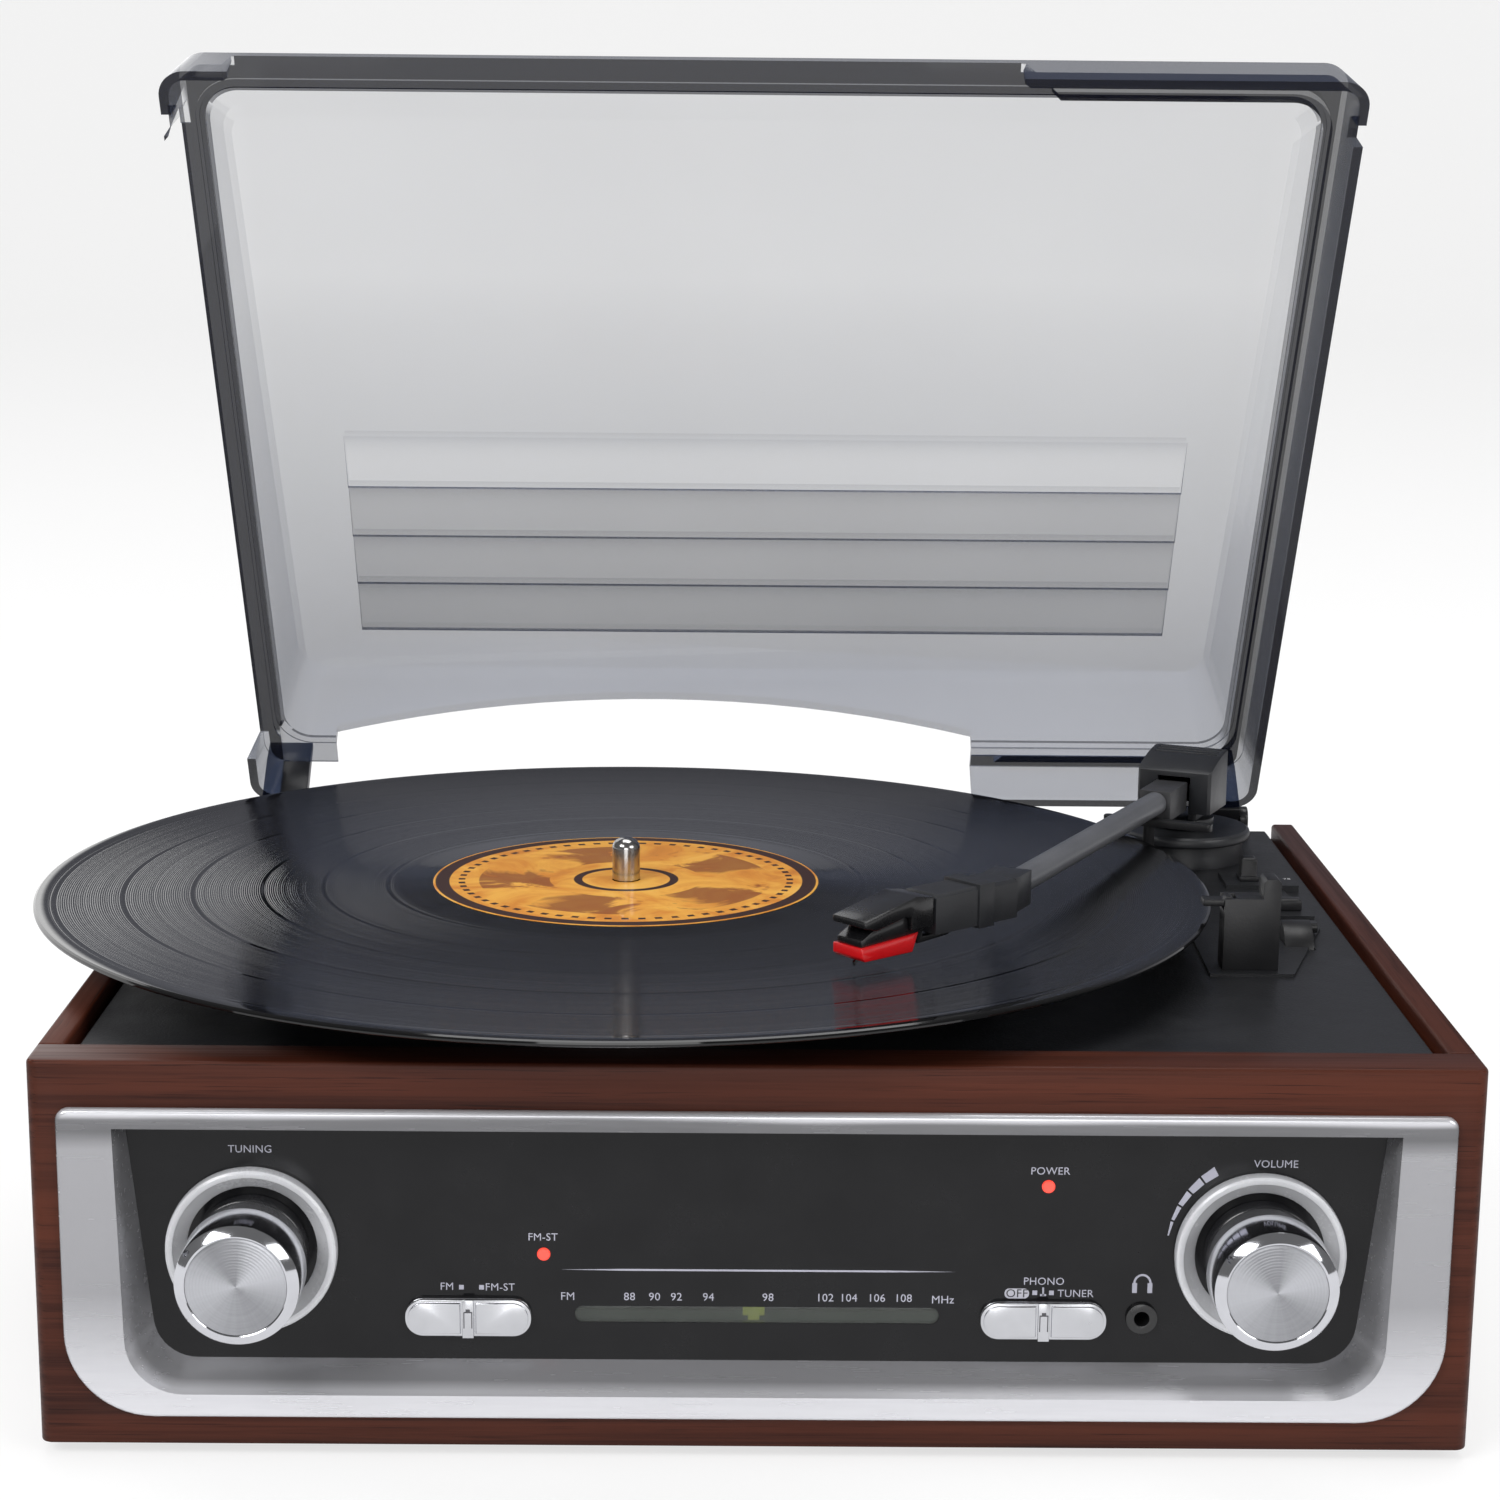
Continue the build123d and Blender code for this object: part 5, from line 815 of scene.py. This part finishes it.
class PLAYER_OT_printing(bpy.types.Operator):
    """Prints the dial numbers and the words beside the controls"""

    bl_idname = "player.printing"
    bl_label = "Printing"

    def execute(self, context):
        panel = context.scene.player_panel
        turn = Matrix.Rotation(pi / 2, 4, "X")
        face = fascia_front - 0.015
        shape = bmesh.new()
        small = panel.print_height
        for words, x, z in (
            ("88", -28.9, 33.7), ("90", -23.2, 33.7), ("92", -18.2, 33.7), ("94", -10.9, 33.7),
            ("98", 2.7, 33.7), ("102", 15.7, 33.7), ("104", 21.1, 33.7), ("106", 27.5, 33.7),
            ("108", 33.6, 33.7), ("FM", -43.0, 33.7), ("MHz", 42.6, 33.4),
        ):
            lettering(shape, words, spot(x, face, z), small * 0.76, turn, 1.04)
        for words, x, z in (
            ("TUNING", -114.5, 68.4), ("VOLUME", 117.4, 66.4), ("POWER", 66.3, 64.4),
            ("FM-ST", -48.6, 47.9), ("FM", -70.5, 35.9), ("FM-ST", -58.4, 35.8),
            ("PHONO", 65.6, 38.0), ("TUNER", 72.9, 35.1),
        ):
            lettering(shape, words, spot(x, face, z), small * 0.72, turn, 1.04)
        # Small marks beside the slide switches
        skin = 0.01
        for left, right, foot, head in (
            (-67.75, -66.65, 35.25, 36.35), (-63.15, -62.05, 35.25, 36.35), (63.05, 64.15, 34.75, 35.85),
            (66.85, 67.95, 34.75, 35.85), (65.3, 65.7, 34.6, 36.6), (64.8, 66.2, 34.5, 35.0),
        ):
            block(shape, spot(left, face - skin, foot), spot(right, face + skin, head))
        # Tapering line over the dial
        line = [shape.verts.new(spot(x, face, z)) for x, z in (
            (-44.5, 40.2), (-30.0, 40.0), (30.0, 40.0), (45.5, 40.2), (30.0, 40.45), (-30.0, 40.45)
        )]
        shape.faces.new(line)
        # Five dashes round the volume knob, from thin to wide
        wedge_radius = 21.4
        wedge_start = 168
        wedge_step = 10.2
        wedge_span = 9.0
        wedge_growth = 0.42
        for index in range(5):
            begin = wedge_start - index * wedge_step
            start = radians(begin)
            end = radians(begin - wedge_span)
            thin = 0.3 + index * wedge_growth
            thick = 0.3 + (index + 0.85) * wedge_growth
            corners = (
                (start, wedge_radius), (start, wedge_radius + thin), (end, wedge_radius + thick),
                (end, wedge_radius),
            )
            places = [(knob_side + r * cos(a), knob_height + r * sin(a)) for a, r in corners]
            shape.faces.new([shape.verts.new(spot(x, face, z)) for x, z in places])
        # Headphones
        bow_middle = 88.1
        bow_foot = 37.7
        bow_steps = 12
        turns = [pi * step / bow_steps for step in range(bow_steps + 1)]
        bow = [(bow_middle + 2.1 * cos(a), bow_foot + 2.3 * sin(a)) for a in turns]
        rim = [(bow_middle + 1.6 * cos(a), bow_foot + 1.8 * sin(a)) for a in turns]
        for i in range(bow_steps):
            quad = (bow[i], bow[i + 1], rim[i + 1], rim[i])
            shape.faces.new([shape.verts.new(spot(x, face, z)) for x, z in quad])
        for side in (-1, 1):
            cup = bow_middle + side * 1.75
            block(shape, spot(cup - 0.55, face - skin, 35.4), spot(cup + 0.55, face + skin, 37.8))
        printing = moulded("print_grey", tuple(panel.print_colour), 0.5, 0.00001, 1500)
        finished("fascia_printing", shape, printing, "cabinet")
        # The word OFF stands in a pale lozenge
        shape = bmesh.new()
        block(shape, spot(56.7, face - 0.005, 33.9), spot(62.3, face + 0.02, 36.3))
        pale = moulded("print_pale", tone(176, 176, 186), 0.5, 0.00001, 1500)
        short = [e for e in shape.edges if abs((e.verts[0].co - e.verts[1].co).y) > 1e-6]
        rounded(shape, short, 0.0011, 6)
        finished("off_lozenge", shape, pale, "cabinet")
        shape = bmesh.new()
        lettering(shape, "OFF", spot(59.5, face - 0.02, 35.05), small * 0.8, turn, 1.05)
        finished("off_word", shape, moulded("print_dark", tone(28, 28, 30), 0.5), "cabinet")
        return {"FINISHED"}


class PLAYER_OT_knobs(bpy.types.Operator):
    """Turns the two knobs with their spun faces and ring dishes"""

    bl_idname = "player.knobs"
    bl_label = "Knobs"

    def execute(self, context):
        chrome = polished("knob_chrome", tone(222, 223, 228), 0.07)
        skirt = moulded("knob_skirt", tone(30, 30, 33), 0.25, coat=0.4)
        satin = moulded("dish_satin", tone(205, 206, 210), 0.26, 0.000004, 1200, coat=0.3)
        cap_rings = (
            (0, -17.2), (11.3, -17.2), (11.3, -18.7), (11.5, -18.85), (11.8, -18.85), (13.5, -17.7),
            (13.8, -17.3), (13.87, -16.5), (14.0, -9.0), (14.0, -6.1), (13.4, -5.5), (0, -5.5),
        )
        face_rings = ((0, -18.55), (10.8, -18.72), (11.2, -18.6), (11.28, -17.3), (0, -17.3))
        skirt_rings = (
            (0, -5.6), (12.2, -5.6), (12.2, -4.5), (13.0, -4.4), (13.0, 1.0), (12.6, 1.3), (13.0, 1.6),
            (13.0, 6.2), (3.0, 6.2), (3.0, 20.4), (0, 20.4),
        )
        dimple_rings = ((0, -18.0), (0.4, -18.05), (0.6, -18.3), (0.85, -18.2), (0.85, -17.3), (0, -17.3))
        dimple_place = Vector((-0.0107, 0, 0.0075))
        dish_rings = (
            (14.8, 6.5), (19.5, 6.5), (19.5, 4.6), (19.3, 3.9), (18.8, 3.5), (18.2, 3.5), (17.7, 3.7),
            (17.3, 4.3), (15.2, 5.9),
        )
        dishes = bmesh.new()
        for side, knob, body in ((-1, "tuning_knob", "tuning"), (1, "volume_knob", "volume")):
            middle = spot(side * knob_side, 0, knob_height)
            shape = bmesh.new()
            turned(shape, cap_rings, middle, backward)
            finished(f"{knob}_cap", shape, chrome, body, (knob,), 28)
            shape = bmesh.new()
            turned(shape, face_rings, middle, backward)
            # The spun face carries a painted fan of highlights
            spun = spun_metal(f"{knob}_spun", tone(150, 151, 155), middle, "XZ", 0.0007, 0.26, 0.9)
            finished(f"{knob}_face", shape, spun, body, (), 20)
            shape = bmesh.new()
            turned(shape, skirt_rings, middle, backward)
            finished(f"{knob}_skirt", shape, skirt, body, (), 30)
            shape = bmesh.new()
            turned(shape, dimple_rings, middle + dimple_place, backward, 24)
            # Painted shade: the dimple is given darker chrome where its hollow looks dark
            dimple = polished(f"{knob}_dimple_painted_shade", tone(110, 111, 116), 0.15)
            finished(f"{knob}_dimple", shape, dimple, body)
            turned(dishes, dish_rings, middle, backward)
        finished("knob_dishes_turned", dishes, satin, "cabinet", ("knob_dishes",), 30)
        return {"FINISHED"}


class PLAYER_OT_record(bpy.types.Operator):
    """Turns the record, its label and the spindle, and finishes the platter and the mat"""

    bl_idname = "player.record"
    bl_label = "Record and platter"

    def execute(self, context):
        middle = Vector((record_middle.x, record_middle.y, 0))
        top = record_high.z * 1000
        hole = 3.65
        disc_rings = (
            (hole, top - 1.5), (150.2, top - 1.5), (150.7, top - 1.2), (150.8, top - 0.75),
            (150.7, top - 0.3), (150.2, top), (147.6, top), (146.6, top - 0.25), (54.0, top - 0.25),
            (53.0, top), (hole, top),
        )
        shape = bmesh.new()
        turned(shape, disc_rings, middle, upward, 180)
        finished("record_disc", shape, vinyl("vinyl_black"), "turntable", ("record",), 20)
        label_rings = (
            (hole, top + 0.01), (49.9, top + 0.01), (50.0, top + 0.1), (49.9, top + 0.2),
            (hole, top + 0.2),
        )
        shape = bmesh.new()
        turned(shape, label_rings, middle, upward, 128)
        paper = label_print("label_orange")
        finished("label_paper", shape, paper, "turntable", ("record_label",), 20)
        dark = spun_metal("platter_metal", tone(60, 61, 64), record_middle, "XY", 0.0012, 0.35)
        paint(dark, "platter")
        paint(moulded("mat_rubber", tone(26, 26, 27), 0.85, 0.00015, 1200), "slip_mat")
        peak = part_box("spindle")[1].z * 1000
        foot = peak - 38
        dome_height = 2.8
        turns = [pi / 2 * step / 7 for step in range(8)]
        dome = [(3.6 * sin(a), peak - dome_height + dome_height * cos(a)) for a in turns]
        pin_rings = (
            *dome, (3.6, top + 0.5), (3.2, top + 0.5), (3.2, top - 3.1), (3.0, top - 3.1), (3.0, foot),
            (0, foot),
        )
        shape = bmesh.new()
        turned(shape, pin_rings, middle, upward, 48)
        steel = polished("spindle_steel", tone(188, 186, 184), 0.14)
        finished("spindle_pin", shape, steel, "turntable", ("spindle",), 40)
        return {"FINISHED"}


class PLAYER_OT_arm(bpy.types.Operator):
    """Dresses the tone arm from its turret to the stylus"""

    bl_idname = "player.arm"
    bl_label = "Tone arm"

    def execute(self, context):
        arm = context.scene.player_arm
        edge = arm.edge_rounding
        plastic = moulded("arm_plastic", tuple(arm.plastic_colour), 0.36, 0.00005, 1800)
        tube = moulded("arm_tube_paint", tuple(arm.tube_colour), 0.33, 0.00002, 900)
        turret_rings = (
            (2.6, 89.5), (18.1, 89.5), (18.1, 90.6), (17.5, 92.4), (17.4, 95.6), (18.9, 95.8),
            (19.4, 96.3), (19.5, 97.4), (19.2, 98.2), (18.4, 98.75), (9.0, 98.8), (2.6, 98.8),
        )
        turret_middle = spot(124.0, 218.5, 0)
        shape = bmesh.new()
        turned(shape, turret_rings, turret_middle, upward)
        finished("arm_turret_drum", shape, plastic, "cabinet", ("arm_turret",), 30)
        for node in ("arm_yoke", "arm_cover"):
            dressed(node, plastic, "arm_base", edge, 35)
        pale = moulded("block_plastic", tone(56, 56, 58), 0.4, 0.00005, 1800)
        dressed("arm_block", pale, "arm", edge, 35)
        dressed("arm_tube", tube, "arm", 0.0, 30)
        dressed("head_socket", plastic, "arm", edge, 35)
        black = moulded("head_plastic", tone(19, 19, 21), 0.27, 0.00003, 1800, coat=0.4)
        dressed("headshell", black, "arm", edge, 35)
        dressed("cartridge", black, "arm", 0.2, 35)
        red = moulded("stylus_red", tuple(arm.stylus_colour), 0.22, 0.00002, 1200, coat=0.5)
        dressed("stylus_holder", red, "arm", 0.25, 35)
        paint(polished("stylus_steel", tone(200, 200, 205), 0.12), "stylus")
        return {"FINISHED"}


class PLAYER_OT_controls(bpy.types.Operator):
    """Dresses the arm rest, the cueing lever, the lift and the deck switches"""

    bl_idname = "player.controls"
    bl_label = "Deck controls"

    def execute(self, context):
        plastic = moulded("control_plastic", tone(24, 24, 26), 0.38, 0.00006, 1500)
        for node, body in (
            ("arm_rest", "cabinet"),
            ("arm_keeper", "keeper"),
            ("cue_lever", "cue"),
            ("speed_knob", "speed_switch"),
            ("stop_knob", "stop_switch"),
            ("lift_platform", "platform"),
        ):
            dressed(node, plastic, body, 0.3, 35)
        low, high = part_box("speed_knob")
        mark_height = spot(0, 0, 90.815).z
        place = Vector((high.x + 0.0083, (low.y + high.y) / 2, mark_height))
        shape = bmesh.new()
        lettering(shape, "78", place, 1.5, Matrix.Identity(4))
        finished("speed_mark", shape, moulded("speed_mark_white", tone(190, 190, 192), 0.5), "cabinet")
        return {"FINISHED"}


class PLAYER_OT_lid(bpy.types.Operator):
    """Gives the smoked lid its clear plastic"""

    bl_idname = "player.lid"
    bl_label = "Lid"

    def execute(self, context):
        dressed("lid", smoked("smoked_plastic"), "cover_lid", 0.0, 30)
        return {"FINISHED"}


class PLAYER_OT_stage(bpy.types.Operator):
    """Sets the pale floor, the soft lamps, the world and the camera"""

    bl_idname = "player.stage"
    bl_label = "Stage"

    def execute(self, context):
        scene = context.scene
        stage = scene.player_stage
        floor_side = 6
        floor_front = -4
        bend_start = 4.0
        bend_radius = 1.5
        bend_steps = 10
        wall_height = 6.0
        shape = bmesh.new()
        corners = [shape.verts.new((side * floor_side, floor_front, 0)) for side in (-1, 1)]
        line = shape.edges.new(corners)
        profile = [(bend_start, 0.0)]
        for step in range(1, bend_steps + 1):
            turn = pi / 2 * step / bend_steps
            profile.append((bend_start + bend_radius * sin(turn), bend_radius - bend_radius * cos(turn)))
        profile.append((bend_start + bend_radius, wall_height))
        for y, z in profile:
            made = bmesh.ops.extrude_edge_only(shape, edges=[line])["geom"]
            new = [v for v in made if isinstance(v, bmesh.types.BMVert)]
            line = next(e for e in made if isinstance(e, bmesh.types.BMEdge))
            for vert in new:
                vert.co.y, vert.co.z = y, z
        mesh = bpy.data.meshes.new("floor")
        shape.to_mesh(mesh)
        shape.free()
        mesh.shade_smooth()
        mesh.materials.append(pale_floor("floor_pale", tuple(stage.floor_colour)))
        floor = bpy.data.objects.new("floor", mesh)
        scene.collection.objects.link(floor)

        world = bpy.data.worlds.new("studio")
        world.use_nodes = True
        scene.world = world
        tree = world.node_tree
        tree.nodes.clear()
        path = tree.nodes.new("ShaderNodeLightPath")
        end = tree.nodes.new("ShaderNodeOutputWorld")
        made = white_light(tree, 0.5)
        # Reflections see a dim world and the camera a white one
        for ray, strength in (("Is Glossy Ray", 0.16), ("Is Camera Ray", 1.0)):
            mix = tree.nodes.new("ShaderNodeMixShader")
            tree.links.new(path.outputs[ray], mix.inputs[0])
            tree.links.new(made.outputs[0], mix.inputs[1])
            tree.links.new(white_light(tree, strength).outputs[0], mix.inputs[2])
            made = mix
        tree.links.new(made.outputs[0], end.inputs[0])

        for name, place, aim, wide, power in (
            ("key", (-1.5, -1.7, 1.9), (0, 0, 0.1), 1.4, 34),
            ("fill", (1.9, -1.5, 1.2), (0, 0, 0.1), 1.4, 16),
            ("top", (0.1, 0.4, 2.3), (0, 0.05, 0.1), 1.6, 20),
            ("low_front", (0.0, -2.4, 0.35), (0, 0, 0.08), 1.2, 9),
        ):
            lamp = bpy.data.lights.new(name, "AREA")
            lamp.shape = "RECTANGLE"
            lamp.size = wide
            lamp.size_y = wide * 0.7
            lamp.energy = power
            holder = bpy.data.objects.new(name, lamp)
            holder.location = place
            holder.rotation_euler = (Vector(aim) - Vector(place)).to_track_quat("-Z", "Y").to_euler()
            scene.collection.objects.link(holder)

        photo_width = 1500
        middle_row = 856.744
        heading = -0.008376
        roll = 0.009181
        camera_place = spot(-8.097, -682.55, 294.665)
        lens = bpy.data.cameras.new("camera")
        lens.sensor_width = 36
        lens.lens = stage.lens
        lens.shift_y = (middle_row - photo_width / 2) / photo_width
        lens.clip_start = 0.05
        lens.clip_end = 50
        eye = bpy.data.objects.new("camera", lens)
        eye.matrix_world = (
            Matrix.Translation(camera_place)
            @ Matrix.Rotation(heading, 4, "Z")
            @ Matrix.Rotation(pi / 2 - stage.pitch, 4, "X")
            @ Matrix.Rotation(roll, 4, "Z")
        )
        scene.collection.objects.link(eye)
        scene.camera = eye
        scene.view_settings.view_transform = "Standard"
        return {"FINISHED"}


class PLAYER_PT_panel(bpy.types.Panel):
    """Lists the record player's settings and its building steps"""

    bl_label = "Record player"
    bl_space_type = "VIEW_3D"
    bl_region_type = "UI"
    bl_category = "Record player"

    def draw(self, context):
        for name in SETTINGS:
            box = self.layout.box()
            group = getattr(context.scene, name)
            for key in group.bl_rna.properties.keys():
                if key not in {"rna_type", "name"}:
                    box.prop(group, key)
        for step in STEPS:
            self.layout.operator(step.bl_idname)


SETTINGS = {
    "player_stage": StageSettings,
    "player_case": CaseSettings,
    "player_panel": PanelSettings,
    "player_record": RecordSettings,
    "player_arm": ArmSettings,
    "player_lid": LidSettings,
}
STEPS = (
    PLAYER_OT_stage,
    PLAYER_OT_case,
    PLAYER_OT_inside,
    PLAYER_OT_panel,
    PLAYER_OT_printing,
    PLAYER_OT_knobs,
    PLAYER_OT_record,
    PLAYER_OT_arm,
    PLAYER_OT_controls,
    PLAYER_OT_lid,
)


def register():
    """Registers the settings, the steps and the panel."""
    for name, group in SETTINGS.items():
        bpy.utils.register_class(group)
        setattr(bpy.types.Scene, name, bpy.props.PointerProperty(type=group))
    for step in (*STEPS, PLAYER_PT_panel):
        bpy.utils.register_class(step)


def unregister():
    """Takes them away again."""
    for step in (*STEPS, PLAYER_PT_panel):
        bpy.utils.unregister_class(step)
    for name, group in SETTINGS.items():
        delattr(bpy.types.Scene, name)
        bpy.utils.unregister_class(group)


def main():
    """Builds the whole scene, step by step."""
    register()
    for step in STEPS:
        group, name = step.bl_idname.split(".")
        getattr(getattr(bpy.ops, group), name)()


if __name__ == "__main__":
    main()
